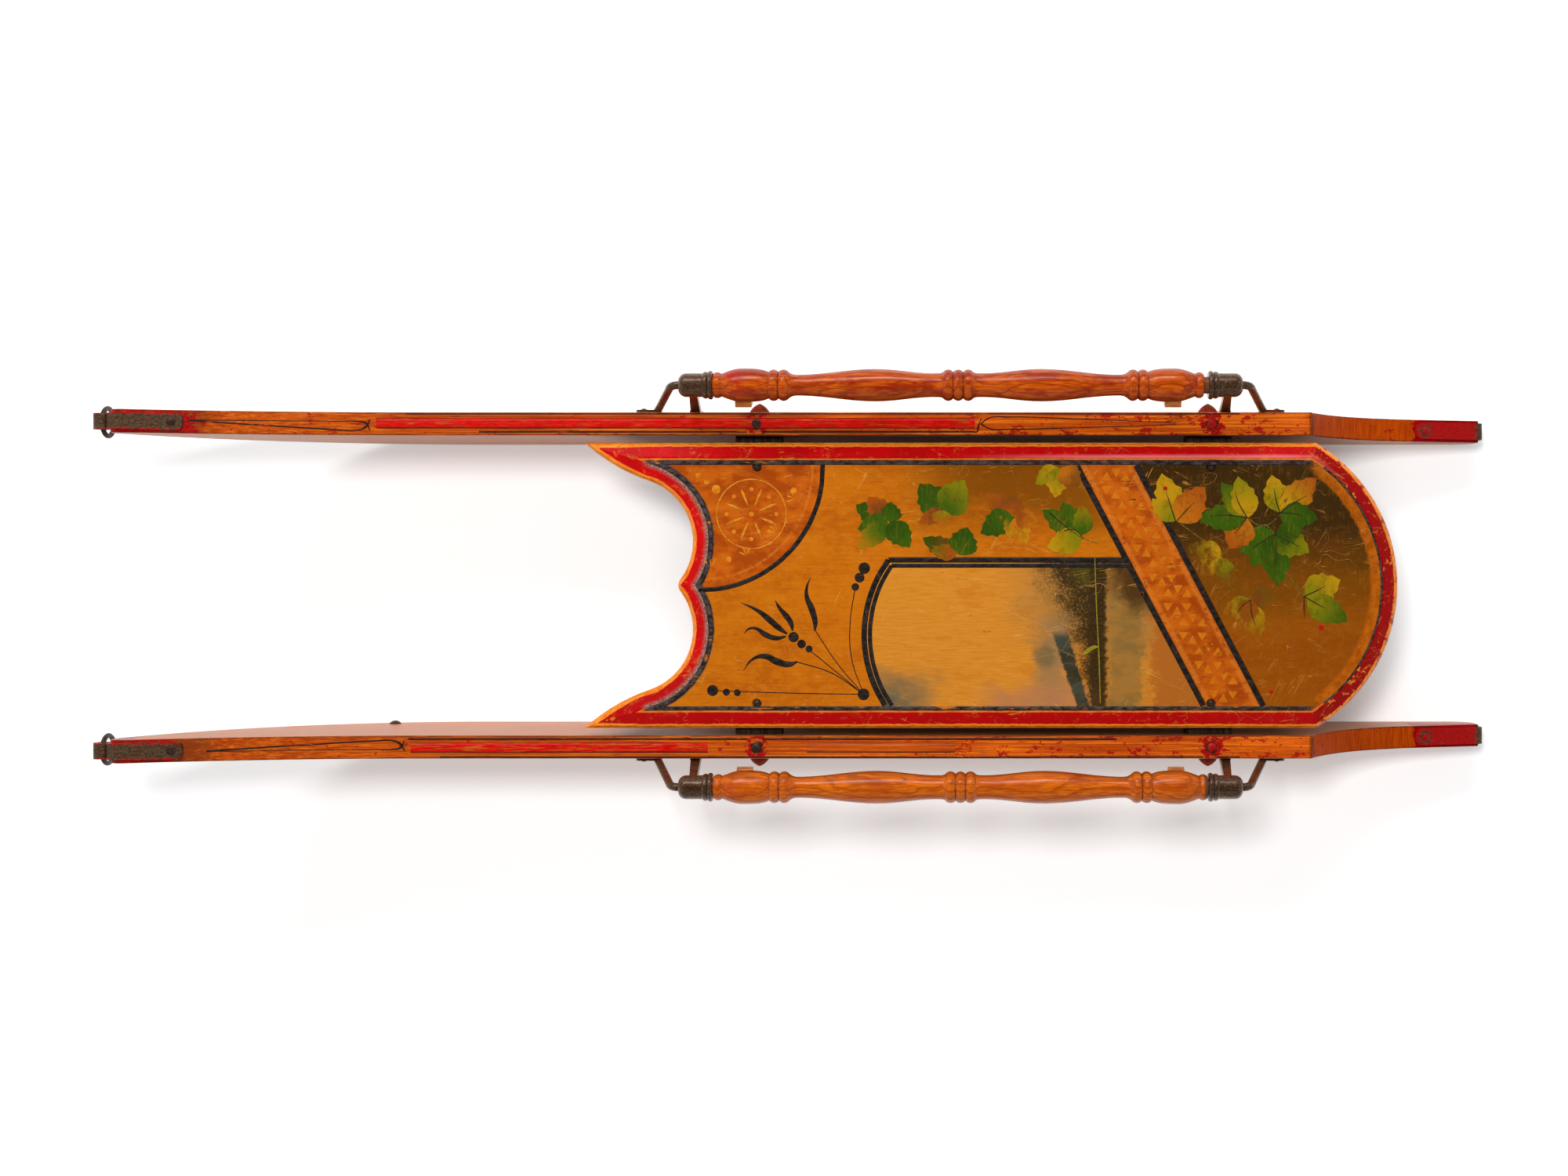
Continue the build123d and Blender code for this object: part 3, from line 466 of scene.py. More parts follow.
def border(paint, colour, chip, behind, inward, edge, in_bite, at_rear):
    """Bare lip, red, a thin bare line and a black inline, in from the edge."""
    chipped = paint.fade(chip, 0.655, 0.675)
    bare = paint.mix(paint.fade(chip, 0.35, 0.6), (0.60, 0.115, 0.008), BARE_ORANGE)
    red = paint.mix(
        paint.fade(paint.noise(9, 4.0, (4, 4, 1), (7, 1, 1)), 0.35, 0.7), (0.52, 0.001, 0.002),
        BORDER_RED)
    red = paint.cover(red, (0.42, 0.001, 0.001), paint.fade(paint.y, -40.0, -100.0), 0.7)
    red = paint.cover(red, (0.27, 0.001, 0.001), at_rear, 0.8)
    # Painted highlight: a pink sheen is laid into the red near its inner side, on the right half.
    sheen = paint.both(
        paint.between(edge, RED - 2.6, RED - 0.2, 1.6), paint.fade(behind, 300.0, 440.0),
        paint.fade(behind, 630.0, 570.0), paint.fade(paint.y, 0.0, 2.0), 0.8)
    red = paint.mix(sheen, red, (1.0, 0.22, 0.24))
    # In the bite the red greys toward the inline: airbrushed dark paint together with a painted sheen
    # on the bevel.
    smoke_and_sheen = paint.both(in_bite, paint.fade(edge, 8.5, 13.5))
    grey = paint.mix(
        paint.fade(paint.noise(1.1, 3.0, (1, 1, 1), (2, 2, 2), 0.7), 0.4, 0.6),
        (0.10, 0.055, 0.045), (0.42, 0.27, 0.22))
    red = paint.mix(smoke_and_sheen, red, grey)
    inline = paint.mix(paint.fade(chip, 0.35, 0.62), (0.018, 0.011, 0.009), (0.085, 0.065, 0.062))
    inline = paint.mix(chipped, inline, (0.42, 0.16, 0.04))
    rear_bare = paint.mix(paint.fade(chip, 0.34, 0.64), (0.34, 0.072, 0.002), (0.56, 0.130, 0.004))
    outside_inline = paint.fade(edge, INLINE + 0.3, INLINE - 0.3)
    colour = paint.cover(colour, inline, outside_inline, paint.outside(at_rear))
    gap = paint.both(paint.fade(edge, BARE + 0.25, BARE - 0.25), paint.outside(in_bite))
    colour = paint.mix(gap, colour, bare)
    fuzzy = paint.ragged(inward, chip, 9.0)
    colour = paint.cover(
        colour, rear_bare, at_rear, paint.fade(fuzzy, 24.5, 21.5), paint.fade(edge, 14.6, 15.2),
        0.85)
    on_red = paint.fade(edge, RED + 0.3, RED - 0.3)
    rubbed = paint.both(
        paint.fade(chip, 0.60, 0.63), paint.either(at_rear, paint.fade(behind, 40.0, 20.0), 0.25))
    colour = paint.mix(
        paint.both(on_red, paint.outside(rubbed)), paint.mix(on_red, colour, bare), red)
    # Painted highlight: the lip is coloured a brighter orange than the bare band inside it.
    painted_lip_highlight = paint.mix(paint.fade(chip, 0.35, 0.6), (0.80, 0.175, 0.010), (1.0, 0.33, 0.03))
    lip_edge = paint.ragged(edge, chip, 4.0)
    lip_edge = paint.sum("SUBTRACT", lip_edge, paint.fade(behind, 54.0, 20.0))
    on_lip = paint.fade(lip_edge, LIP + 0.3, LIP - 0.3, 0.95)
    on_lip = paint.both(
        on_lip, paint.outside(paint.both(at_rear, worn(paint, 0.56, 8, (1, 3, 1), (1, 1, 1)))))
    colour = paint.mix(on_lip, colour, painted_lip_highlight)
    return colour


def deck_finish():
    paint = Finish("painted_deck")
    colour, height = deck_wood(paint)
    behind, slant = deck_measures(paint)
    inward, edge, in_bite, at_rear = deck_edge(paint, behind)
    colour = orange_fields(paint, colour, behind, slant)
    in_panel, wash = panel_wash(paint, behind, slant)
    colour = paint.mix(in_panel, colour, wash)
    chip = paint.noise(3.2, 5.0, (2.4, 2.4, 1), (6, 6, 1), 0.7)
    colour = border(paint, colour, chip, behind, inward, edge, in_bite, at_rear)

    # Scratches, dents and the plain sides and underside.
    marks = paint.either(
        paint.scratch(28, 0.0016, (3, 1, 0)), paint.scratch(40, 0.0012, (11, 5, 0), (1.5, 1, 1)))
    strokes = paint.either(
        paint.straight_scratches(62, (4, 1, 0)), paint.straight_scratches(-24, (9, 7, 0)),
        paint.straight_scratches(8, (2, 15, 0)))
    colour = paint.cover(colour, (0.80, 0.42, 0.12), marks, 0.6)
    colour = paint.cover(colour, (0.74, 0.34, 0.06), strokes, 0.42)
    chips = paint.fade(paint.noise(2.4, 3.0, (1, 1, 1), (13, 3, 0), 0.5), 0.752, 0.762, 0.8)
    colour = paint.mix(chips, colour, (0.74, 0.36, 0.13))
    low_side = paint.fade(paint.z, deck_top_z - 5.2, deck_top_z - 6.0)
    under_grain = paint.noise(1.6, 5.0, (40, 1, 1), (0, 2, 7), 0.6)
    side_colour = paint.mix(
        paint.fade(under_grain, 0.35, 0.65), (0.40, 0.075, 0.006), (0.60, 0.16, 0.014))
    colour = paint.mix(low_side, colour, side_colour)
    beneath = paint.fade(paint.up, -0.4, -0.6)
    bare_board = paint.mix(
        paint.fade(under_grain, 0.35, 0.65), (0.20, 0.105, 0.045), (0.36, 0.215, 0.10))
    colour = paint.mix(beneath, colour, bare_board)
    roughness = paint.blend(paint.fade(chip, 0.3, 0.7), 0.26, 0.40)
    roughness = paint.blend(beneath, roughness, 0.75)
    relief = paint.sum("SUBTRACT", height, paint.sum("MULTIPLY", paint.either(marks, chips), 0.8))
    return paint.finish(colour, roughness, relief, 0.10, gloss=0.30, coat=0.05, coat_roughness=0.2)


def red_spots(paint, amount, shift):
    """Small stray flecks of red."""
    fleck = paint.noise(6.5, 5.0, (1.5, 1, 1), shift, 0.70)
    return paint.fade(fleck, amount, amount + 0.012)


def runner_finish(side, sign):
    paint = Finish(f"{side}_runner_varnish")
    colour, height = runner_wood(paint)
    along = paint.sum("SUBTRACT", paint.x, nose_x)
    on_top = paint.either(
        paint.fade(paint.up, 0.55, 0.75),
        paint.both(paint.fade(along, CREASE - 1, CREASE + 1), paint.fade(paint.up, 0.06, 0.16)))
    inner = paint.fade(
        paint.sum("MULTIPLY", paint.sum("SUBTRACT", paint.side_y, runner_mid_y), -1.0), 8.6, 9.3)
    # Painted light: behind about 520 mm the wood is lightened to lift the shade that falls on it
    # there.
    colour = paint.cover(
        colour, paint.mix(1.0, colour, (1.38, 1.5, 1.2), "MULTIPLY"),
        paint.fade(along, 520.0, 640.0), 0.8)
    # The flat sides show paler, flatter wood.
    plank = paint.noise(5, 4.0, (30, 1, 1), (3, 3, 3), 0.5)
    side_colour = paint.mix(
        paint.fade(plank, 0.35, 0.65), (0.44, 0.120, 0.022), (0.58, 0.190, 0.050))
    pore = paint.fade(paint.noise(0.7, 3.0, (26, 1, 1), (5, 1, 6)), 0.60, 0.70)
    side_colour = paint.cover(side_colour, (0.22, 0.070, 0.02), pore, 0.6)
    # Painted shade: the inner side is darkened beside the deck, where the deck shades it.
    shade_beside_deck = paint.both(inner, paint.between(along, 410.0, CREASE - 4, 25.0))
    side_colour = paint.cover(side_colour, (0.10, 0.030, 0.008), shade_beside_deck, 0.8)
    colour = paint.mix(paint.outside(on_top), colour, side_colour)
    # Behind the crease the top is cut across the grain.
    cross = paint.noise(1.5, 4.0, (1.2, 12, 1), (2, 2, 0), 0.6)
    scooped = paint.mix(paint.fade(cross, 0.30, 0.70), (0.42, 0.044, 0.001), (0.62, 0.084, 0.002))
    colour = paint.cover(colour, scooped, on_top, paint.fade(along, CREASE, CREASE + 3))
    # A dark line along the crease.
    crease_line = paint.both(on_top, paint.between(along, CREASE - 1.5, CREASE + 2.5, 1.2), 0.7)
    colour = paint.mix(crease_line, colour, (0.05, 0.015, 0.004))
    # Red at both ends and in stray flecks, dark along the edges.
    arris = paint.sum("ABSOLUTE", paint.sum("SUBTRACT", paint.side_y, runner_mid_y))
    ragged = paint.noise(4.5, 4.0, (2, 1, 1), (9, 9, 1 + sign), 0.65)
    ragged_along = paint.ragged(along, ragged, 60.0)
    near_nose = paint.either(on_top, paint.fade(ragged_along, 34.0, 24.0))
    nose_end = 84.0 if sign > 0 else 70.0
    stain = paint.both(paint.fade(ragged_along, 98.0, 82.0), near_nose, 0.7)
    colour = paint.mix(stain, colour, (0.20, 0.035, 0.006))
    nose_red = paint.both(paint.fade(ragged_along, nose_end, nose_end - 8.0), near_nose,
                          paint.fade(paint.noise(4, 4.0, (3, 1, 1), (1, 9, 4), 0.6), 0.34, 0.44))
    tail_line = paint.ragged(along, ragged, 12.0)
    tail_red = paint.both(
        paint.fade(tail_line, TAIL_TAB + 1, TAIL_TAB + 2.5), paint.fade(paint.z, 12.0, 26.0))
    spots = paint.both(
        on_top,
        paint.either(
            paint.both(
                red_spots(paint, 0.568, (1 + sign, 5, 2)), paint.fade(along, 560.0, 760.0),
                paint.fade(along, CREASE + 21, CREASE - 9)),
            red_spots(paint, 0.625, (4, 1 + sign, 7))))
    side_noise = paint.noise(7, 3.0, (1, 1, 1), (5, 3 + sign, 4), 0.6)
    shade = paint.noise(2, 3.0, (1, 1, 1), (3, 4, 4))
    red = paint.mix(paint.fade(shade, 0.35, 0.65), (0.27, 0.002, 0.003), (0.45, 0.006, 0.006))
    # The paint has chipped round the pins that hold the crossbars.
    front_pin = paint.distance(paint.x, paint.side_y, pin_stations[0], runner_mid_y)
    rear_pin = paint.distance(paint.x, paint.side_y, pin_stations[1], runner_mid_y)
    pin_distance = paint.ragged(paint.sum("MINIMUM", front_pin, rear_pin), ragged, 9.0)
    colour = paint.cover(
        colour, (0.44, 0.080, 0.010), on_top, paint.fade(pin_distance, 7.6, 6.8), 0.8)
    pin_red = paint.both(
        on_top, paint.between(pin_distance, 5.2, 9.8, 0.5), paint.fade(side_noise, 0.44, 0.48))
    colour = paint.cover(colour, (0.05, 0.014, 0.005), on_top, paint.fade(pin_distance, 5.6, 5.0))
    colour = paint.mix(
        paint.either(nose_red, tail_red, pin_red, paint.both(spots, 0.9)), colour, red)
    edge_wear = paint.both(
        on_top, paint.fade(arris, 8.1, 9.0), worn(paint, 0.47, 1.6, (2, 5, 8), (14, 1, 1)), 0.75)
    colour = paint.mix(edge_wear, colour, (0.045, 0.014, 0.005))
    # Painted shade: the runner's narrow corners are darkened.
    crevice_shade = paint.both(paint.crevice(7.0), 0.7)
    colour = paint.mix(crevice_shade, colour, (0.05, 0.016, 0.006))
    roughness = paint.blend(paint.fade(plank, 0.3, 0.7), 0.30, 0.45)
    # Gloss is taken away in the painted shade beside the deck and on the cross-cut tail top.
    matte_shade_and_tail_top = paint.either(shade_beside_deck, paint.both(on_top, paint.fade(along, CREASE - 5, CREASE + 1)))
    return paint.finish(colour, roughness, height, 0.14, gloss=paint.blend(matte_shade_and_tail_top, 0.22, 0.02))


# ---- Iron ----
def iron_finish(name, dark, light, pit_size=1.6, metal=0.75, roughness=(0.42, 0.62), depth=0.25,
                red_share=None, rub=0.6, coat=0.0):
    """Old iron: pitted, browned, and rubbed lighter on its high places."""
    paint = Finish(name)
    pits = paint.noise(pit_size, 5.0, (1.5, 1, 1), (1, 2, 2), 0.65)
    bloom = paint.noise(9, 4.0, (1.6, 1, 1), (4, 2, 6), 0.6)
    colour = paint.mix(paint.fade(pits, 0.34, 0.66), dark, light)
    rust = tuple(0.6 * part for part in (dark[0] * 2.4, dark[1] * 1.2, dark[2] * 0.7))
    colour = paint.cover(colour, rust, paint.fade(bloom, 0.50, 0.68), 0.6)
    high = paint.both(paint.fade(pits, 0.60, 0.74), rub)
    colour = paint.mix(high, colour, tuple(min(1.0, part * 2.6) for part in light))
    colour = paint.cover(colour, tuple(part * 0.35 for part in dark), paint.crevice(3.0), 0.8)
    metallic = metal
    if red_share is not None:
        share = red_share(paint)
        shade = paint.mix(paint.fade(pits, 0.35, 0.65), (0.34, 0.001, 0.001), (0.50, 0.002, 0.002))
        colour = paint.mix(share, colour, shade)
        metallic = paint.blend(share, metal, 0.0)
    gloss = paint.blend(paint.fade(bloom, 0.3, 0.7), roughness[0], roughness[1])
    return paint.finish(
        colour, gloss, pits, depth, metal=metallic, gloss=0.25, coat=coat, coat_roughness=0.16)


def shoe_red(paint):
    """Red left on the strap: chips along the nose tab, and most of the tail tab."""
    along = paint.sum("SUBTRACT", paint.x, nose_x)
    out = paint.sum("ABSOLUTE", paint.sum("SUBTRACT", paint.side_y, runner_mid_y))
    chip = paint.noise(2.6, 5.0, (2.2, 1, 1), (3, 3, 1), 0.7)
    nose = paint.both(paint.fade(along, NOSE_TAB + 8, NOSE_TAB), paint.fade(out, 4.6, 6.4),
                      paint.fade(paint.z, 120.0, 128.0), paint.fade(chip, 0.46, 0.50))
    tail = paint.both(
        paint.fade(along, TAIL_TAB - 4, TAIL_TAB),
        paint.fade(along, TAIL_TAB_END + 4, TAIL_TAB_END), paint.fade(paint.z, 20.0, 30.0),
        paint.fade(chip, 0.34, 0.38))
    round_rivet = paint.distance(along, paint.side_y, TAIL_RIVET, runner_mid_y)
    bare_ring = paint.both(paint.fade(round_rivet, 6.6, 5.6), paint.fade(chip, 0.60, 0.45))
    tail = paint.both(tail, paint.outside(bare_ring))
    return paint.either(nose, tail)


def foot_red(paint):
    """Flecks of red where a casting's foot meets the painted runner."""
    near = paint.fade(paint.side_y, 148.0, 143.5)
    return paint.both(
        near, paint.fade(paint.noise(2.2, 4.0, (1, 1, 1), (5, 5, 5), 0.7), 0.56, 0.60), 0.9)


# ---- Turned rails and crossbars ----
def rail_finish(name, dark, light, stain, stain_share, sign):
    paint = Finish(name)
    end_red = 0.85 if sign > 0 else 0.15
    middle = paint.sum("SUBTRACT", paint.x, rail_mid_x)
    wander = paint.noise(30, 3.0, (3, 1, 1), (2, 6 + sign, 1))
    ring_y = paint.sum("SUBTRACT", paint.side_y, rail_axis_y + 20.0)
    ring_z = paint.sum("SUBTRACT", paint.z, rail_axis_z - 24.0)
    ring_radius = paint.distance(ring_y, ring_z, 0, 0)
    ring_radius = paint.sum("ADD", ring_radius, paint.sum("MULTIPLY", wander, 22.0))
    ring = paint.sum("FRACT", paint.sum("DIVIDE", ring_radius, 4.4))
    late_wood = paint.both(paint.fade(ring, 0.55, 0.95), paint.fade(ring, 1.0, 0.97))
    grain = paint.noise(1.2, 4.0, (22, 1, 1), (4, 0, 3), 0.6)
    colour = paint.mix(paint.fade(grain, 0.35, 0.65), dark, light)
    colour = paint.cover(colour, tuple(part * 0.55 for part in dark), late_wood, 0.60)
    streak = paint.fade(paint.noise(0.7, 3.0, (14, 1, 1), (8, 1, 3)), 0.63, 0.70)
    colour = paint.cover(colour, tuple(part * 0.35 for part in dark), streak, 0.5)
    blot = paint.noise(11, 5.0, (2.6, 1, 1), (7, 3 + sign, 5), 0.65)
    colour = paint.cover(colour, stain, paint.fade(blot, 0.48, 0.62), stain_share)
    speck = paint.fade(paint.noise(1.2, 3.0, (2, 1, 1), (1, 4, 9), 0.6), 0.69, 0.72)
    colour = paint.cover(colour, (0.10, 0.012, 0.003), speck, 0.6)
    # Painted shade: the rail's narrow grooves are darkened.
    grooves = paint.both(paint.crevice(4.0), 0.85)
    colour = paint.mix(grooves, colour, (0.12, 0.016, 0.005))
    front_end = paint.both(
        paint.between(middle, -188.0, -174.0, 5.0), paint.fade(blot, 0.45, 0.55), end_red)
    colour = paint.mix(front_end, colour, (0.40, 0.008, 0.006))
    # Painted shade: the ends that sit inside the cups are darkened.
    shade_inside_cup = paint.fade(paint.sum("ABSOLUTE", middle), 196.0, 197.5)
    colour = paint.mix(shade_inside_cup, colour, (0.16, 0.055, 0.022))
    height = paint.sum("ADD", paint.sum("MULTIPLY", grain, 0.5), paint.sum("MULTIPLY", blot, 0.5))
    # Painted shade: faces that turn sideways and down are darkened.
    painted_side_shade = paint.fade(paint.up, 0.66, 0.10, 0.70)
    colour = paint.mix(painted_side_shade, colour, tuple(part * 0.30 for part in dark))
    return paint.finish(colour, paint.blend(paint.fade(blot, 0.35, 0.65), 0.20, 0.30), height, 0.10,
                        gloss=0.30, coat=0.10, coat_roughness=0.08)


def crossbar_finish(name, crown_red):
    """Black body between the runners, and varnished crowns outside them."""
    paint = Finish(name)
    grain = paint.noise(1.4, 4.0, (1, 26, 1), (1, 1, 4), 0.6)
    black = paint.mix(paint.fade(grain, 0.35, 0.7), (0.010, 0.008, 0.007), (0.045, 0.032, 0.024))
    end_grain = paint.noise(1.6, 5.0, (1, 1, 1), (2, 7, 1), 0.65)
    crown = paint.mix(paint.fade(end_grain, 0.35, 0.65), (0.07, 0.012, 0.004), (0.30, 0.050, 0.008))
    crown = paint.cover(
        crown, (0.36, 0.010, 0.010),
        paint.fade(paint.noise(5, 3.0, (1, 1, 1), (2, 1, 1)), 0.46, 0.56), crown_red)
    outside = paint.fade(paint.side_y, runner_mid_y + 7.0, runner_mid_y + 9.0)
    colour = paint.mix(outside, black, crown)
    return paint.finish(
        colour, paint.blend(paint.fade(grain, 0.3, 0.7), 0.45, 0.65), grain, 0.12, gloss=0.05)


def plug_finish():
    paint = Finish("plug_maple")
    grain = paint.noise(0.9, 4.0, (14, 1, 1), (3, 2, 1), 0.6)
    colour = paint.mix(paint.fade(grain, 0.35, 0.65), (0.30, 0.070, 0.012), (0.56, 0.190, 0.040))
    # Painted shade: the plug's narrow corners are darkened.
    colour = paint.cover(colour, (0.09, 0.02, 0.006), paint.crevice(3.0), 0.8)
    return paint.finish(colour, paint.blend(grain, 0.35, 0.6), grain, 0.1, coat=0.3)


# ---- Brushed paint laid over the wood ----
def brush_finish(name, base, pigment, spread, wear, slot_gloss=0.35, stretch=(5, 1, 1), size=2.0,
                 strength=1.0, thins=None):
    """Paint of one colour that has worn through to the wood beneath it."""
    paint = Finish(name)
    under, height = base(paint)
    tone = paint.noise(3.0, 4.0, (2, 1, 1), (2, 5, 1), 0.6)
    coat = paint.mix(paint.fade(tone, 0.35, 0.65), pigment, spread)
    holds = paint.both(worn(paint, wear, size, (5, 2, 2), stretch), strength)
    scratched = paint.both(paint.scratch(24, 0.003, (6, 2, 0)), 0.8)
    holds = paint.both(holds, paint.outside(scratched))
    if thins is not None:
        patches = paint.noise(9, 4.0, (5, 1, 1), (3, 3, 7), 0.6)
        gone = paint.sum("ADD", paint.fade(paint.x, *thins), paint.sum("MULTIPLY", patches, 1.2))
        holds = paint.both(holds, paint.fade(gone, 1.55, 1.30))
    colour = paint.mix(holds, under, coat)
    relief = paint.sum("ADD", height, paint.sum("MULTIPLY", holds, 0.6))
    return paint.finish(
        colour, paint.blend(tone, 0.26, 0.44), relief, 0.08, gloss=slot_gloss, coat=0.1)


def leaf_finish():
    """Leaf paint: the piece's own pigment, streaked by the brush and thin at its edges."""
    paint = Finish("leaf_paint")
    under, height = deck_wood(paint)
    pigment = paint.add("ShaderNodeAttribute")
    pigment.attribute_name = "pigment"
    streak = paint.noise(0.9, 4.0, (1.6, 9, 1), (4, 4, 4), 0.65)
    dab = paint.noise(5.0, 4.0, (1, 1.4, 1), (8, 3, 3), 0.6)
    coat = paint.mix(
        paint.fade(streak, 0.50, 0.70, 0.16), pigment.outputs["Color"], (0.42, 0.24, 0.01))
    coat = paint.cover(coat, (0.03, 0.03, 0.002), paint.fade(dab, 0.52, 0.36), 0.30)
    thin = paint.ragged(pigment.outputs["Alpha"], dab, 0.9)
    holds = paint.both(paint.fade(thin, 0.18, 0.75), worn(paint, 0.30, 1.3, (2, 2, 5), (4, 1, 1)))
    scratched = paint.both(
        paint.either(
            paint.scratch(20, 0.003, (2, 8, 0)), paint.straight_scratches(62, (4, 1, 0)),
            paint.straight_scratches(-24, (9, 7, 0))),
        0.7)
    holds = paint.both(holds, paint.outside(scratched))
    colour = paint.mix(holds, under, coat)
    return paint.finish(colour, paint.blend(streak, 0.28, 0.44), height, 0.06, gloss=0.35, coat=0.1)


# ---- Modelling helpers ----
def clear_selection():
    if bpy.context.object is not None and bpy.context.object.mode != "OBJECT":
        bpy.ops.object.mode_set(mode="OBJECT")
    bpy.ops.object.select_all(action="DESELECT")


def edit_whole():
    """Opens the active piece for editing with everything selected."""
    bpy.ops.object.mode_set(mode="EDIT")
    bpy.ops.mesh.select_all(action="SELECT")


def done_editing():
    bpy.ops.object.mode_set(mode="OBJECT")
    return bpy.context.object


def join(pieces):
    clear_selection()
    for piece in pieces:
        piece.select_set(True)
    bpy.context.view_layer.objects.active = pieces[0]
    if len(pieces) > 1:
        bpy.ops.object.join()
    return bpy.context.object


def settle(piece, name, material, body="sled"):
    """Names a finished piece, puts its place into its mesh and sets it on its body."""
    clear_selection()
    piece.select_set(True)
    bpy.context.view_layer.objects.active = piece
    bpy.ops.object.transform_apply(location=True, rotation=True, scale=True)
    piece.name = name
    piece.data.name = name
    piece.data.materials.clear()
    piece.data.materials.append(material)
    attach(piece, body)
    return piece


BEAD_HEIGHT = 0.05  # how thick a painted line stands


def brush_line(points, widths, smooth=True, closed=False, level=0.03):
    """A painted line: a round bead along a drawn curve, pressed flat."""
    clear_selection()
    bpy.ops.curve.primitive_bezier_curve_add(location=(0, 0, 0))
    line = bpy.context.object
    line.data.twist_mode = "Z_UP"
    line.data.bevel_depth = 0.5 * MM
    line.data.bevel_resolution = 1
    line.data.resolution_u = 10
    line.data.use_fill_caps = True
    spline = line.data.splines[0]
    spline.bezier_points.add(len(points) - 2)
    spline.use_cyclic_u = closed
    if not isinstance(widths, (list, tuple)):
        widths = [widths] * len(points)
    for knot, (x, y), width in zip(spline.bezier_points, points, widths):
        knot.co = (x * MM, y * MM, 0)
        knot.handle_left_type = knot.handle_right_type = "AUTO" if smooth else "VECTOR"
        knot.radius = width
    bpy.ops.object.convert(target="MESH")
    edit_whole()
    bpy.ops.transform.resize(value=(1, 1, 2 * BEAD_HEIGHT / max(widths)))
    bpy.ops.transform.translate(value=(0, 0, level * MM))
    return done_editing()


def dab(x, y, radius, level=0.04):
    """A round spot of paint, a little domed."""
    clear_selection()
    bpy.ops.mesh.primitive_circle_add(vertices=20, radius=radius * MM, fill_type="NGON")
    edit_whole()
    bpy.ops.mesh.extrude_region_move(TRANSFORM_OT_translate={"value": (0, 0, 0.04 * MM)})
    bpy.ops.transform.resize(value=(0.82, 0.82, 1))
    bpy.ops.mesh.select_all(action="SELECT")
    bpy.ops.transform.translate(value=(x * MM, y * MM, level * MM))
    bpy.ops.mesh.normals_make_consistent(inside=False)
    return done_editing()


def move_to_deck(piece):
    """From the painter's layout on the horn tips and centre line to the deck's top."""
    clear_selection()
    piece.select_set(True)
    bpy.context.view_layer.objects.active = piece
    piece.location = (horn_x * MM, 0, deck_top_z * MM)
    return piece


# ---- Leaves ----
# A lobe's edge: (share of its length, share of its half width), one side of it.
LOBE_EDGE = [
    (0.04, 0.34), (0.14, 0.74), (0.28, 1.0), (0.42, 1.02), (0.50, 0.86), (0.62, 0.92), (0.70, 0.60),
    (0.82, 0.50), (0.90, 0.22)]
GREEN = (0.040, 0.095, 0.002)
DARK_GREEN = (0.024, 0.066, 0.002)
LIME = (0.22, 0.19, 0.002)
YELLOW = (0.48, 0.25, 0.004)
OCHRE = (0.50, 0.14, 0.004)
RUST = (0.36, 0.070, 0.004)
BROWN = (0.16, 0.045, 0.006)


def leaf_lobe(base, direction, length, width, inner, outer, cover, level):
    """One lobe: a disc drawn out to a toothed outline and coloured from its base to its tip."""
    right = [(along, half) for along, half in LOBE_EDGE]
    left = [(min(1, along + 0.035), -0.94 * half) for along, half in reversed(LOBE_EDGE)]
    outline = [(0, 0)] + right + [(1, 0)] + left
    clear_selection()
    bpy.ops.mesh.primitive_circle_add(vertices=len(outline), radius=1, fill_type="TRIFAN")
    lobe = bpy.context.object
    turn = math.radians(direction)
    rim = [vertex for vertex in lobe.data.vertices if vertex.co.length > 0.5]
    middle = [vertex for vertex in lobe.data.vertices if vertex.co.length < 0.5]
    places = list(zip(rim, outline)) + [(middle[0], (0.45, 0.0))]
    for vertex, (along, half) in places:
        x, y = along * length, -half * width * 0.56
        vertex.co = (
            (base[0] + x * math.cos(turn) - y * math.sin(turn)) * MM,
            (base[1] + x * math.sin(turn) + y * math.cos(turn)) * MM,
            level * MM,
        )
    shares = {vertex.index: along for vertex, (along, half) in places}
    edit_whole()
    bpy.ops.mesh.subdivide(number_cuts=1)
    bpy.ops.mesh.extrude_region_move(TRANSFORM_OT_translate={"value": (0, 0, 0.03 * MM)})
    bpy.ops.mesh.select_all(action="SELECT")
    bpy.ops.mesh.normals_make_consistent(inside=False)
    lobe = done_editing()
    pigment = lobe.data.attributes.new("pigment", "FLOAT_COLOR", "POINT")
    origin = Vector((base[0] * MM, base[1] * MM, 0))
    for vertex in lobe.data.vertices:
        reach = Vector((vertex.co.x - origin.x, vertex.co.y - origin.y)).length / (length * MM)
        share = min(1.0, max(0.0, (reach - 0.25) / 0.6))
        blend = [a + (b - a) * share for a, b in zip(inner, outer)]
        alpha = cover[0] + (cover[1] - cover[0]) * share
        pigment.data[vertex.index].color = (*blend, alpha)
    return lobe


FULL, THIN, FADED = (1.0, 0.95), (0.9, 0.45), (0.55, 0.25)
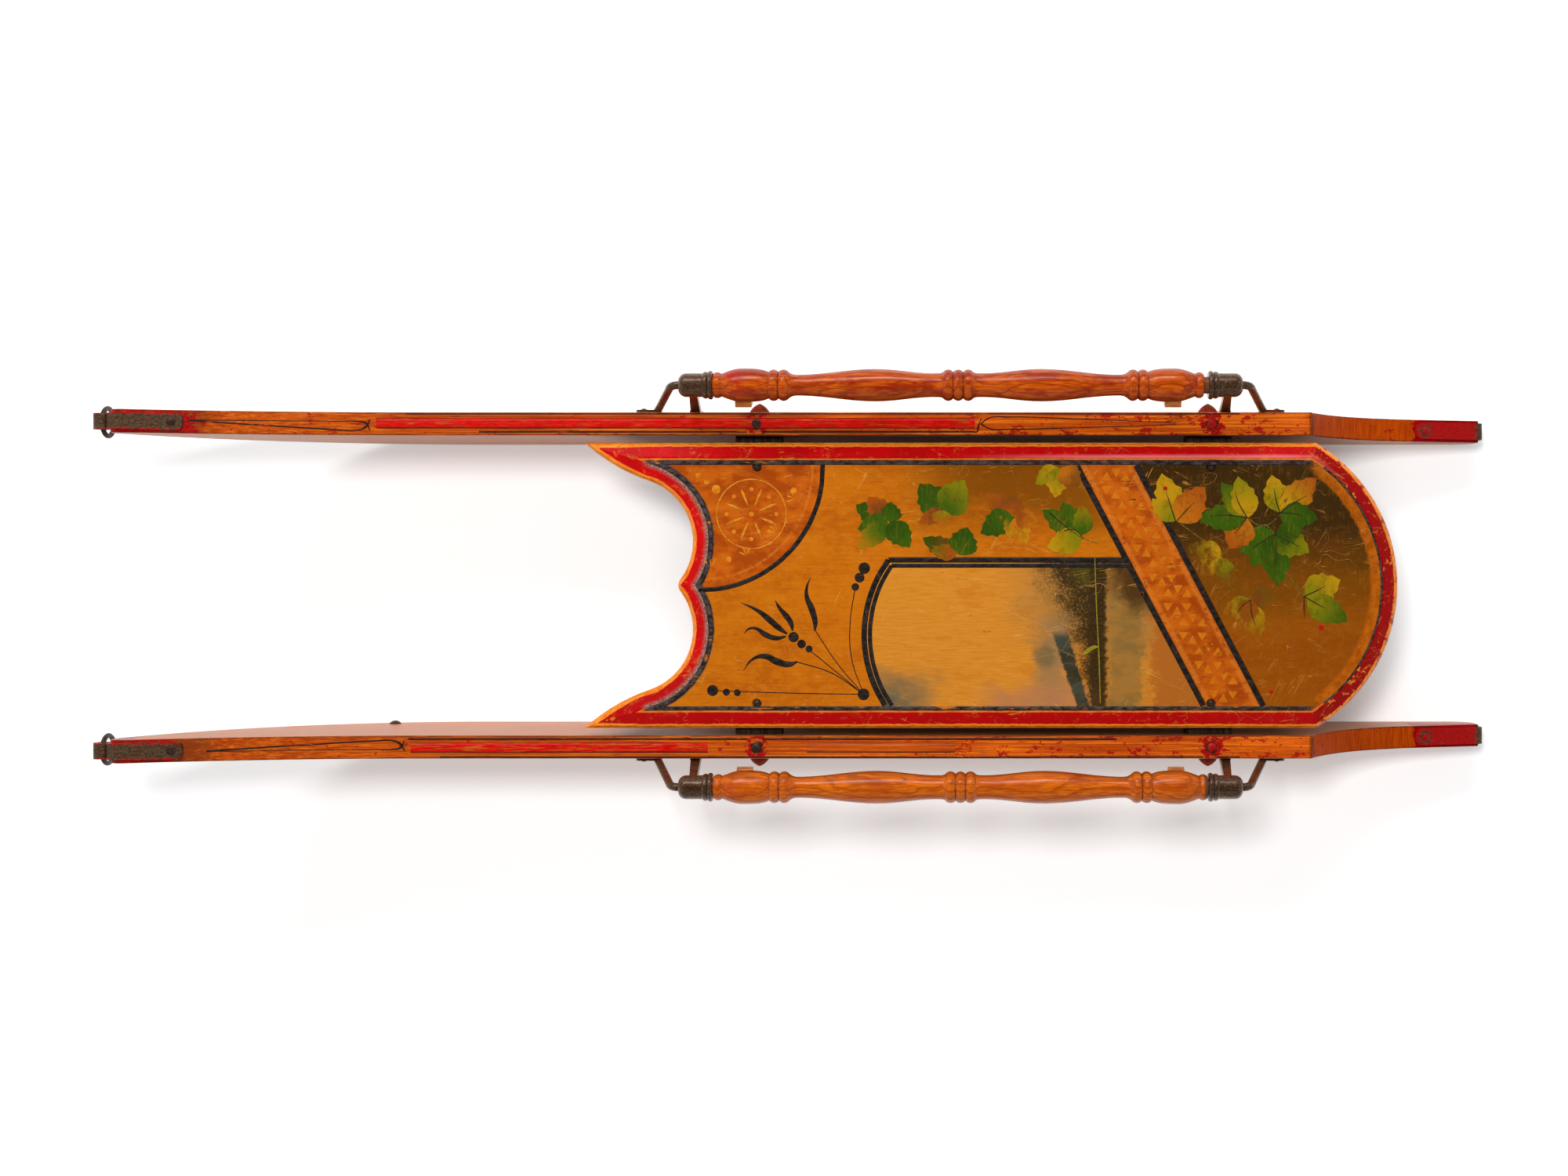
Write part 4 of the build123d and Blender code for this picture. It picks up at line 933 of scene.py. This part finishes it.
# Name, then its lobes: base, direction, length, width, base colour, tip colour, cover.
LEAVES = {
    "front_leaf": [
        ((250, 53), 152, 29, 19, GREEN, DARK_GREEN, FULL),
        ((251, 53), 128, 26, 18, BROWN, RUST, FULL),
        ((253, 52), 88, 17, 16, GREEN, DARK_GREEN, FULL),
        ((251, 52), 192, 26, 17, GREEN, GREEN, FULL),
        ((251, 51), 218, 33, 17, GREEN, LIME, THIN),
        ((253, 53), 306, 27, 19, DARK_GREEN, GREEN, FULL),
    ],
    "tall_leaf": [
        ((297, 58), 127, 33, 24, GREEN, DARK_GREEN, FULL),
        ((297, 59), 58, 33, 25, GREEN, LIME, FULL),
        ((297, 61), 204, 23, 12, BROWN, RUST, FULL),
        ((297, 62), 262, 15, 16, LIME, BROWN, FADED),
    ],
    "cut_leaf": [
        ((307, 25), 152, 31, 16, BROWN, DARK_GREEN, FULL),
        ((308, 26), 172, 22, 13, RUST, GREEN, THIN),
        ((310, 25), 74, 24, 22, GREEN, DARK_GREEN, FULL),
    ],
    "rust_leaf": [
        ((353, 57), 138, 28, 17, BROWN, RUST, THIN),
        ((354, 57), 96, 19, 17, RUST, BROWN, THIN),
        ((353, 58), 210, 30, 20, GREEN, DARK_GREEN, FULL),
        ((355, 57), 258, 19, 13, GREEN, YELLOW, THIN),
        ((356, 56), 293, 24, 16, OCHRE, YELLOW, THIN),
        ((356, 57), 345, 20, 15, RUST, OCHRE, THIN),
    ],
    "stemmed_leaf": [
        ((411, 40), 145, 40, 19, GREEN, GREEN, FULL),
        ((411, 41), 121, 33, 17, GREEN, GREEN, FULL),
        ((412, 42), 92, 25, 15, GREEN, LIME, THIN),
        ((411, 39), 194, 30, 20, LIME, YELLOW, FULL),
    ],
    "top_leaf": [
        ((391, 97), 216, 23, 14, YELLOW, LIME, FULL),
        ((392, 97), 262, 25, 17, LIME, YELLOW, FULL),
        ((394, 97), 316, 21, 18, OCHRE, BROWN, THIN),
    ],
    "gold_leaf": [
        ((488, 53), 106, 41, 24, YELLOW, YELLOW, FULL),
        ((488, 53), 136, 27, 15, LIME, YELLOW, FULL),
        ((489, 53), 50, 37, 24, OCHRE, RUST, FULL),
    ],
    "shoulder_leaf": [
        ((547, 56), 240, 30, 25, OCHRE, RUST, FULL),
        ((547, 56), 180, 41, 21, GREEN, GREEN, FULL),
        ((547, 56), 126, 36, 18, LIME, GREEN, FULL),
        ((548, 56), 104, 35, 20, YELLOW, LIME, FULL),
    ],
    "corner_leaf": [
        ((574, 60), 102, 32, 20, LIME, YELLOW, FULL),
        ((574, 60), 43, 42, 23, YELLOW, RUST, FULL),
        ((574, 60), -10, 32, 21, GREEN, DARK_GREEN, FULL),
    ],
    "broad_leaf": [
        ((570, 42), 205, 33, 22, GREEN, GREEN, FULL),
        ((570, 42), 232, 33, 20, GREEN, GREEN, FULL),
        ((570, 43), 273, 44, 24, DARK_GREEN, GREEN, FULL),
        ((570, 42), -28, 32, 22, GREEN, LIME, FULL),
        ((571, 42), 8, 22, 17, DARK_GREEN, GREEN, FULL),
    ],
    "pale_leaf": [
        ((526, 24), 164, 30, 18, YELLOW, LIME, FADED),
        ((526, 24), 222, 24, 16, YELLOW, YELLOW, FADED),
        ((526, 23), 286, 29, 15, LIME, GREEN, FADED),
    ],
    "ghost_leaf": [
        ((551, -13), 208, 29, 17, LIME, YELLOW, FADED),
        ((550, -14), 280, 35, 18, YELLOW, LIME, FADED),
        ((551, -12), 12, 24, 16, BROWN, GREEN, FADED),
        ((551, -12), 250, 20, 16, RUST, BROWN, FADED),
    ],
    "last_leaf": [
        ((594, -9), 24, 33, 25, LIME, YELLOW, FULL),
        ((597, -11), -30, 38, 21, LIME, GREEN, FULL),
    ],
}
STEMS = [
    [(256, 55), (262, 58), (269, 60)],
    [(412, 39), (419, 36), (424, 35)],
    [(489, 53), (503, 43), (516, 33)],
    [(548, 55), (556, 50), (564, 50), (574, 58)],
    [(570, 42), (566, 47), (562, 50)],
    [(571, 22), (578, 12), (590, -3), (594, -8)],
    [(526, 24), (520, 28), (515, 33)],
    [(562, 50), (540, 40), (527, 25)],
]
VEINS = [
    [(384, 60), (397, 49), (412, 38)], [(396, 45), (404, 46), (412, 39)],
    [(488, 53), (484, 65), (480, 78)], [(489, 53), (497, 62), (504, 69)],
    [(547, 56), (530, 58), (517, 57)], [(547, 56), (540, 68), (537, 78)],
    [(547, 56), (541, 48), (537, 43)], [(574, 60), (571, 70), (569, 80)],
    [(574, 60), (586, 68), (596, 74)], [(574, 60), (586, 59), (593, 57)],
    [(570, 43), (571, 28), (570, 12)], [(570, 42), (556, 34), (549, 28)],
    [(570, 42), (582, 36), (590, 32)], [(594, -9), (605, -4), (612, 0)],
    [(594, -9), (594, -20), (595, -27)], [(594, -9), (604, -15), (612, -19)],
    [(550, -12), (551, -24), (554, -34)], [(550, -12), (543, -17), (539, -23)]]


def paint_leaves():
    leaf_paint = leaf_finish()
    for index, (name, lobes) in enumerate(LEAVES.items()):
        base_level = 0.03 + 0.011 * (index % 3)
        made = [leaf_lobe(*lobe, base_level + 0.035 * order) for order, lobe in enumerate(lobes)]
        settle(move_to_deck(join(made)), name, leaf_paint)
    stem_paint = brush_finish(
        "stem_paint", deck_wood, (0.10, 0.085, 0.008), (0.22, 0.15, 0.02), 0.42)
    stems = [brush_line(stem, [1.0] * (len(stem) - 1) + [0.5]) for stem in STEMS]
    settle(move_to_deck(join(stems)), "leaf_stems", stem_paint)
    vein_paint = brush_finish(
        "vein_paint", deck_wood, (0.020, 0.018, 0.005), (0.05, 0.035, 0.008), 0.34)
    veins = [brush_line(vein, [0.9] * (len(vein) - 1) + [0.3], level=0.24) for vein in VEINS]
    settle(move_to_deck(join(veins)), "leaf_veins", vein_paint)
    berry_paint = brush_finish(
        "berry_paint", deck_wood, (0.42, 0.006, 0.006), (0.50, 0.01, 0.01), 0.30)
    berries = [dab(479.6, 80.0, 1.7, 0.2), dab(608.0, -35.0, 2.2), dab(567.0, -88.0, 1.7)]
    settle(move_to_deck(join(berries)), "leaf_berries", berry_paint)


# ---- Black lines on the deck ----
def arc_points(centre_x, centre_y, radius, start, end, count):
    """Points along an arc, from one direction to another, in degrees."""
    places = []
    for step in range(count + 1):
        angle = math.radians(start + (end - start) * step / count)
        places.append((centre_x + radius * math.cos(angle), centre_y + radius * math.sin(angle)))
    return places


def slant_line(start, top, bottom):
    """Two ends of a line that runs with the slanting band."""
    return [(start - BAND_SLANT * top, top), (start - BAND_SLANT * bottom, bottom)]


def paint_black_lines():
    black_paint = brush_finish("black_line_paint", deck_wood, BLACK, (0.030, 0.022, 0.018), 0.30)
    fan_x, fan_y, fan_radius = FAN
    fan_arc = brush_line(arc_points(fan_x, fan_y, fan_radius, 1.5, -91.0, 8), 3.8)
    settle(move_to_deck(fan_arc), "fan_line", black_paint)
    band_lines = [
        brush_line(slant_line(BAND_START, 98.4, -99.2), 4.9, smooth=False, level=0.05),
        brush_line(slant_line(BAND_END, 99.0, -99.4), 4.9, smooth=False, level=0.05),
    ]
    settle(move_to_deck(join(band_lines)), "band_lines", black_paint)
    centre_x, centre_y, radius = PANEL_ARC
    lines = []
    for inset, width in ((0.0, 4.6), (4.7, 3.6)):
        top_turn = math.degrees(math.asin((PANEL_TOP - inset - centre_y) / (radius - inset)))
        foot_turn = math.degrees(math.asin((PANEL_FOOT - centre_y) / (radius - inset)))
        side = arc_points(centre_x, centre_y, radius - inset, 180 - foot_turn, 180 - top_turn, 8)
        lines.append(brush_line(side, width))
        corner = side[-1]
        end_x = BAND_START - BAND_SLANT * (PANEL_TOP - inset)
        lines.append(brush_line([corner, (end_x, PANEL_TOP - inset)], width, smooth=False))
    settle(move_to_deck(join(lines)), "panel_frame", black_paint)
    inline_paint = brush_finish(
        "inline_paint", deck_wood, (0.016, 0.011, 0.010), (0.080, 0.060, 0.056), 0.37,
        stretch=(12, 2, 1), size=1.6)
    middle = (BARE + INLINE) / 2 + 0.2
    line_y = deck_half_width - middle
    inlines = [
        brush_line([(x, sign * line_y) for x in (66, 330, 594)], width, smooth=False)
        for sign, width in ((1, 4.0), (-1, 3.2))]
    settle(move_to_deck(join(inlines)), "side_inlines", inline_paint)
    bite_x, bite_y, bite_radius = bite_arc
    reach = bite_radius + 15.6
    outer_turn = math.degrees(math.asin((line_y - bite_y) / reach))
    inner_turn = math.degrees(math.asin((-bite_y) / reach))
    bites = []
    for sign in (1, -1):
        arc = arc_points(bite_x, bite_y, reach, outer_turn, inner_turn, 8)
        bites.append(brush_line([(x, sign * y) for x, y in arc], 3.2))
    settle(move_to_deck(join(bites)), "bite_inlines", inline_paint)
    rear_x, _, rear_radius = rear_arc
    half_turn = math.degrees(math.asin((line_y - 4) / (rear_radius - 13.8)))
    rear = brush_line(arc_points(rear_x, 0, rear_radius - 13.8, half_turn, -half_turn, 12), 1.8)
    settle(move_to_deck(rear), "rear_inline", inline_paint)


# ---- The black sprig ----
HUB = (230.9, -89.8)
SPRIG_LINES = [
    ([HUB, (175, -88.9), (106.5, -86.8)], [0.8, 0.8, 0.7]),
    ([HUB, (205, -72.5), (176, -63)], [0.7, 0.9, 0.9]),
    ([HUB, (208, -71), (186, -53)], [0.7, 0.8, 0.8]),
    ([HUB, (209, -64), (191, -37)], [0.7, 0.8, 0.8]),
    ([HUB, (221, -60), (219.9, -30), (224, -2)], [0.7, 0.8, 0.8, 0.8]),
]
SPRIG_LEAVES = [
    (
        [(176.5, -62.8), (170, -65), (160, -63), (150, -58.5), (140, -60.5), (131.5, -70.5)],
        [1.2, 4.6, 6.0, 4.6, 2.2, 0.3]),
    (
        [(190.8, -37.5), (191, -30), (188, -19), (184, -9), (184.5, 0), (187.5, 6.5)],
        [1.4, 4.4, 5.4, 3.6, 1.8, 0.3]),
    ([(168, -40), (161, -35), (153, -28), (144, -21), (129.5, -14)], [1.4, 4.8, 5.2, 3.2, 0.3]),
    (
        [(172.5, -37.5), (171, -31), (167, -25), (161.5, -18.5), (157.8, -12)],
        [1.4, 4.4, 4.8, 2.8, 0.3]),
    (
        [(167, -42), (159, -43.5), (150, -40.5), (142, -35.5), (136, -36), (132.5, -39.8)],
        [1.4, 4.0, 4.6, 2.6, 1.6, 0.3])]
SPRIG_DOTS = [
    (*HUB, 4.9), (106.5, -86.6, 4.6), (117.8, -88.0, 3.0), (126.8, -88.4, 2.9),
    (186.0, -52.4, 2.9), (179.8, -48.3, 3.6), (173.2, -42.6, 4.3),
    (224.1, -1.3, 3.2), (227.6, 6.4, 4.1), (231.5, 14.2, 4.8),
]


def paint_sprig():
    sprig_paint = brush_finish("sprig_paint", deck_wood, BLACK, (0.028, 0.020, 0.016), 0.26)
    strokes = [brush_line(points, widths) for points, widths in SPRIG_LINES + SPRIG_LEAVES]
    strokes += [dab(x, y, radius, 0.06) for x, y, radius in SPRIG_DOTS]
    settle(move_to_deck(join(strokes)), "sprig", sprig_paint)


# ---- Pale stencilling on the orange ----
def petal(centre_x, centre_y, angle, start, end, width):
    """A narrow petal that points away from a centre."""
    turn = math.radians(angle)
    spots = []
    for share in (0, 0.35, 0.7, 1):
        reach = start + (end - start) * share
        spots.append((centre_x + reach * math.cos(turn), centre_y + reach * math.sin(turn)))
    return brush_line(spots, [0.4, width * 0.8, width, 0.4])


FAN_DOTS = [
    (173.4, 78.2, 2.6), (109.4, 79.2, 3.6), (101.5, 85.5, 2.4), (94.5, 90.5, 2.0),
    (119.7, 21.5, 2.4)]


def paint_stencils():
    stencil_paint = brush_finish(
        "stencil_paint", deck_wood, (0.66, 0.20, 0.008), (0.78, 0.28, 0.016), 0.44,
        stretch=(2, 1, 1), size=3.0, strength=0.9)
    faint_paint = brush_finish(
        "faint_stencil_paint", deck_wood, (0.56, 0.135, 0.003), (0.62, 0.180, 0.006), 0.42,
        stretch=(2, 1, 1), size=5.0)
    centre_x, centre_y = ROSETTE
    ring = arc_points(centre_x, centre_y, 28.6, 0, 345, 23)
    marks = [brush_line(ring, 1.3, closed=True)]
    for turn in range(8):
        angle = 22.5 + 45 * turn
        marks.append(petal(centre_x, centre_y, angle, 7.0, 22.5, 3.0))
        far = math.radians(angle + 22.5)
        marks.append(dab(centre_x + 20.5 * math.cos(far), centre_y + 20.5 * math.sin(far), 1.7))
    marks.append(dab(centre_x, centre_y, 2.0))
    for x, y, radius in FAN_DOTS:
        marks.append(dab(x, y, radius))
    for angle in (18, 40, 62, 84):
        turn = math.radians(-angle)
        spot = (FAN[0] + 83 * math.cos(turn), FAN[1] + 83 * math.sin(turn))
        for lean in (-34, 0, 34):
            marks.append(petal(*spot, -angle + lean + 180, 2.0, 8.5, 1.5))
    settle(move_to_deck(join(marks)), "fan_stencil", stencil_paint)
    triangles = []
    run = math.hypot(1, BAND_SLANT)
    for step in range(8):
        middle_y = 84.0 - 24.0 * step
        middle_x = (BAND_START + BAND_END) / 2 - BAND_SLANT * middle_y
        for turn in range(6):
            angle = math.radians(60 * turn + 28)
            spot_x, spot_y = middle_x + 9.2 * math.cos(angle) / run, middle_y + 9.2 * math.sin(
                angle)
            triangles.append(stencil_triangle(spot_x, spot_y, math.degrees(angle)))
    settle(move_to_deck(join(triangles)), "band_stencil", faint_paint)


def stencil_triangle(x, y, angle):
    """A small triangle that points to its rosette's middle."""
    clear_selection()
    bpy.ops.mesh.primitive_circle_add(vertices=3, radius=3.7 * MM, fill_type="NGON")
    edit_whole()
    turn = math.radians(angle)
    corners = [(-4.2, 0.0), (3.2, 3.9), (3.2, -3.9)]
    mesh = done_editing().data
    for vertex, (along, across) in zip(mesh.vertices, corners):
        vertex.co.x = (x + along * math.cos(turn) - across * math.sin(turn)) * MM
        vertex.co.y = (y + along * math.sin(turn) + across * math.cos(turn)) * MM
        vertex.co.z = 0.02 * MM
    edit_whole()
    bpy.ops.mesh.bevel(offset=0.7 * MM, segments=2, affect="VERTICES")
    bpy.ops.mesh.extrude_region_move(TRANSFORM_OT_translate={"value": (0, 0, 0.05 * MM)})
    bpy.ops.mesh.select_all(action="SELECT")
    bpy.ops.mesh.normals_make_consistent(inside=False)
    return done_editing()


def paint_panel_twig():
    """The thin yellow-green stem that crosses the panel's dark post, with one leaf."""
    twig_paint = brush_finish(
        "twig_paint", deck_wood, (0.22, 0.17, 0.008), (0.34, 0.26, 0.02), 0.36)
    marks = [
        brush_line(
            [(421.5, 24), (423, -20), (425, -60), (426, -97)], [0.7, 1.0, 1.1, 0.9], level=0.12)]
    marks.append(
        brush_line(
            [(424.5, -50.5), (419, -52), (414, -55.5), (410, -58)], [0.6, 4.2, 3.6, 0.4],
            level=0.12))
    marks.append(
        brush_line([(424.5, -50.5), (421, -50.5), (417, -51)], [0.6, 2.6, 0.3], level=0.12))
    settle(move_to_deck(join(marks)), "panel_twig", twig_paint)


# ---- Striping on the runner tops ----
def lay_on(piece, runner):
    """Lifts every point of a flat piece by the height of the runner's top at its station."""
    middle_y = sum(corner[1] for corner in runner.bound_box) / 8
    for vertex in piece.data.vertices:
        hit, spot, _, _ = runner.ray_cast(Vector((vertex.co.x, middle_y, 0.5)), Vector((0, 0, -1)))
        if hit:
            vertex.co.z += spot.z
    return piece


def on_runner(sign, points):
    """From (distance behind the nose, distance outward from the runner's middle) to the frame."""
    return [(nose_x + along, sign * (runner_mid_y + out)) for along, out in points]


def stations(start, end, step=22.0):
    count = max(2, round((end - start) / step))
    return [start + (end - start) * index / count for index in range(count + 1)]


def arrow_line(sign, tip, head, out_tip, out_head):
    """One thin line of the long arrow, with close knots so that it follows a curved top."""
    points = []
    for along in stations(tip, head):
        share = (along - tip) / (head - tip)
        points.append((along, out_tip + (out_head - out_tip) * share))
    return on_runner(sign, points)


# Per side: its sign, the front arrow's tip and head, the stripe's end, the rear arrow's tip (the
# stripe's end where there is no rear arrow) and how far the red has worn.
STRIPING = {
    "right": (1, 54.0, 214.0, 716.0, 878.0, 0.42),
    "left": (-1, 88.0, 242.0, 700.0, 700.0, 0.45),
}


def paint_runner(side):
    sign, arrow_tip, arrow_head, stripe_end, rear_tip, wear = STRIPING[side]
    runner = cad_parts[f"{side}_runner"]
    line_paint = brush_finish(
        f"{side}_striping_black", runner_wood, BLACK, (0.03, 0.018, 0.012), 0.36,
        stretch=(14, 1, 1), size=1.5)
    red_paint = brush_finish(
        f"{side}_striping_red", runner_wood, (0.52, 0.003, 0.001), STRIPE_RED, wear,
        stretch=(16, 1, 1), size=1.4, thins=(-140.0, 20.0) if side == "left" else None)
    arrow_start = max(arrow_tip, 74.0)
    inner_start, inner_end = (arrow_head + 90, stripe_end - 4) if side == "right" else (
        arrow_head + 4, 829.0)
    lines = [
        brush_line(arrow_line(sign, arrow_start, arrow_head - 22, 1.2, -5.4), 1.3),
        brush_line(arrow_line(sign, arrow_start, arrow_head - 22, 1.6, 1.9), 0.7),
    ]
    curl = [
        (arrow_head - 22, -5.4), (arrow_head - 10, -5.6), (arrow_head - 3, -3.0),
        (arrow_head + 1.5, 3.6)]
    lines.append(brush_line(on_runner(sign, curl), [1.3, 1.5, 1.9, 0.8]))
    hook = [
        (arrow_head - 22, 1.9), (arrow_head - 9, 1.8), (arrow_head - 2, 0.2),
        (arrow_head + 1, -5.6)]
    lines.append(brush_line(on_runner(sign, hook), [0.7, 1.2, 1.8, 0.8]))
    inner_line = [(along, -6.6) for along in stations(inner_start, inner_end, 60)]
    lines.append(brush_line(on_runner(sign, inner_line), 1.5))
    if side == "right":
        cross = [
            (stripe_end - 6, -6.6), (stripe_end - 2, -6.4), (stripe_end - 1, -2.0),
            (stripe_end + 1.5, 4.5)]
        lines.append(brush_line(on_runner(sign, cross), [1.2, 1.2, 1.4, 0.6]))
    if rear_tip > stripe_end:
        for out, bulge in ((5.6, 4.8), (-4.4, -4.0)):
            sweep = [
                (stripe_end + 1, 0), (stripe_end + 8, bulge), (stripe_end + 24, out),
                (stripe_end + 70, out * 0.8), (rear_tip, out * 0.12)]
            lines.append(brush_line(on_runner(sign, sweep), [1.2, 1.1, 1.0, 0.9, 0.5]))
    outer_line = [(along, 8.2) for along in stations(arrow_head + 30, 930, 60)]
    lines.append(brush_line(on_runner(sign, outer_line), 1.1))
    striping = lay_on(join(lines), runner)
    settle(striping, f"{side}_black_striping", line_paint)
    stripe = [(along, 0.4) for along in stations(arrow_head + 6, stripe_end - 4, 40)]
    red = lay_on(brush_line(on_runner(sign, stripe), 8.6, smooth=False), runner)
    settle(red, f"{side}_red_stripe", red_paint)


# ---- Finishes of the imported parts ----
def dress(node, material):
    """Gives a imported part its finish."""
    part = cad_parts[node]
    if not part.material_slots:
        part.data.materials.append(material)
    for slot in part.material_slots:
        slot.link = "OBJECT"
        slot.material = material


def dress_packed_parts():
    dress("deck_board", deck_finish())
    for side, sign in (("right", 1), ("left", -1)):
        dress(f"{side}_runner", runner_finish(side, sign))
    strap = iron_finish("strap_iron", (0.070, 0.036, 0.018), (0.170, 0.100, 0.052), 1.5, 0.45,
                        (0.40, 0.62), 0.35, shoe_red, 0.6)
    cast = iron_finish("cast_iron", (0.050, 0.024, 0.012), (0.165, 0.085, 0.042), 1.3, 0.55,
                       (0.24, 0.42), 0.22, foot_red, 0.9, 0.5)
    ring = iron_finish(
        "ring_iron", (0.030, 0.018, 0.014), (0.085, 0.052, 0.042), 1.2, 0.40, (0.36, 0.55), 0.15)
    dark = iron_finish(
        "dark_iron", (0.035, 0.020, 0.014), (0.110, 0.070, 0.050), 1.1, 0.6, (0.40, 0.60), 0.12)
    bright = iron_finish(
        "bright_iron", (0.16, 0.14, 0.12), (0.36, 0.33, 0.30), 1.0, 0.9, (0.28, 0.45), 0.08)
    painted = iron_finish(
        "painted_iron", (0.10, 0.03, 0.02), (0.20, 0.08, 0.05), 1.2, 0.4, (0.35, 0.5), 0.12,
        lambda paint: paint.fade(paint.noise(1.6, 4.0, (1, 1, 1), (6, 1, 1), 0.7), 0.40, 0.46))
    for side in ("right", "left"):
        dress(f"{side}_runner_shoe", strap)
        dress(f"{side}_front_bracket", cast)
        dress(f"{side}_rear_bracket", cast)
        dress(f"{side}_tow_ring", ring)
    dress(
        "right_hand_rail",
        rail_finish(
            "right_rail_varnish", (0.38, 0.040, 0.002), (0.62, 0.110, 0.004), (0.25, 0.008, 0.002),
            0.72, 1))
    dress(
        "left_hand_rail",
        rail_finish(
            "left_rail_varnish", (0.48, 0.080, 0.003), (0.74, 0.165, 0.006), (0.36, 0.034, 0.002),
            0.45, -1))
    plug = plug_finish()
    dress("right_rail_plugs", plug)
    dress("left_rail_plugs", plug)
    dress("front_crossbar", crossbar_finish("front_crossbar_paint", 0.75))
    dress("rear_crossbar", crossbar_finish("rear_crossbar_paint", 0.95))
    for node in ("front_crossbar_pins", "left_runner_bolt", "nose_strap_rivets", "deck_bolts",
                 "deck_washers", "deck_nuts", "bracket_screws"):
        dress(node, dark)
    dress("rear_crossbar_pins", painted)
    dress("tail_strap_rivets", painted)
    dress("shoe_screws", bright)


# ---- Studio ----
CAMERA_PLACE = (0.118, 0.025, 1.75)
CAMERA_LENS = 44.93
CAMERA_SHIFT = (-0.110, -0.021)
FLOOR_SIZE = 60  # metres
FLOOR_GLOW = 0.40
WALL_LIGHT, CEILING_LIGHT = 0.34, 0.02
# Name, place, size, watts and whether the light shows in glossy surfaces.
LIGHTS = [
    ("overhead", (-0.12, 0.42, 2.2), (0.40, 0.40), 27, False),
    ("window", (-0.5, 2.2, 2.0), (2.6, 0.5), 38, True),
]


def floor_card():
    """Pale matt card, lit a little from below as on a light table."""
    paint = Finish("floor_card")
    mottle = paint.noise(60, 2.0)
    colour = paint.mix(mottle, (0.90, 0.90, 0.90), (0.89, 0.89, 0.89))
    # Painted shade: the card's glow is left out beneath the deck, so it stays dim there.
    beneath = paint.both(paint.between(paint.x, horn_x + 90, deck_rear_x - 20, 70.0),
                         paint.fade(paint.side_y, 175.0, 105.0))
    paint.shader.inputs["Emission Color"].default_value = (1, 1, 1, 1)
    paint.feed(paint.shader.inputs["Emission Strength"], paint.blend(beneath, FLOOR_GLOW, 0.0))
    return paint.finish(colour, 0.9, gloss=0.0)


def soft_light(name, place, size, power, shines):
    """A soft light aimed at the sled. Without its shine it leaves no reflection."""
    lamp = bpy.data.lights.new(name, "AREA")
    lamp.shape = "RECTANGLE"
    lamp.size, lamp.size_y = size
    lamp.energy = power
    light = bpy.data.objects.new(name, lamp)
    bpy.context.scene.collection.objects.link(light)
    light.location = place
    light.rotation_euler = (Vector((0, 0, 0.1)) - Vector(place)).to_track_quat("-Z", "Y").to_euler()
    light.visible_glossy = shines


def studio_walls():
    """Surroundings that are pale near the floor and dark overhead."""
    world = bpy.data.worlds.new("studio")
    world.use_nodes = True
    tree = world.node_tree
    direction = tree.nodes.new("ShaderNodeTexCoord")
    parts = tree.nodes.new("ShaderNodeSeparateXYZ")
    tree.links.new(direction.outputs["Generated"], parts.inputs[0])
    rise = tree.nodes.new("ShaderNodeMapRange")
    rise.interpolation_type = "SMOOTHSTEP"
    tree.links.new(parts.outputs[2], rise.inputs["Value"])
    for socket, limit in zip(rise.inputs[1:5], (0.70, 0.92, WALL_LIGHT, CEILING_LIGHT)):
        socket.default_value = limit
    background = tree.nodes["Background"]
    background.inputs["Color"].default_value = (1, 1, 1, 1)
    tree.links.new(rise.outputs[0], background.inputs["Strength"])
    bpy.context.scene.world = world


def set_studio():
    clear_selection()
    bpy.ops.mesh.primitive_plane_add(size=FLOOR_SIZE, location=(0, 0, 0))
    floor = bpy.context.object
    floor.name = "studio_floor"
    floor.data.materials.append(floor_card())
    studio_walls()
    bpy.context.scene.view_settings.view_transform = "Standard"
    for light in LIGHTS:
        soft_light(*light)
    camera = bpy.data.cameras.new("camera")
    camera.lens = CAMERA_LENS
    camera.sensor_width = 36
    camera.shift_x, camera.shift_y = CAMERA_SHIFT
    viewpoint = bpy.data.objects.new("camera", camera)
    viewpoint.location = CAMERA_PLACE
    bpy.context.scene.collection.objects.link(viewpoint)
    bpy.context.scene.camera = viewpoint


dress_packed_parts()
paint_black_lines()
paint_sprig()
paint_stencils()
paint_panel_twig()
paint_leaves()
for runner_side in STRIPING:
    paint_runner(runner_side)
set_studio()
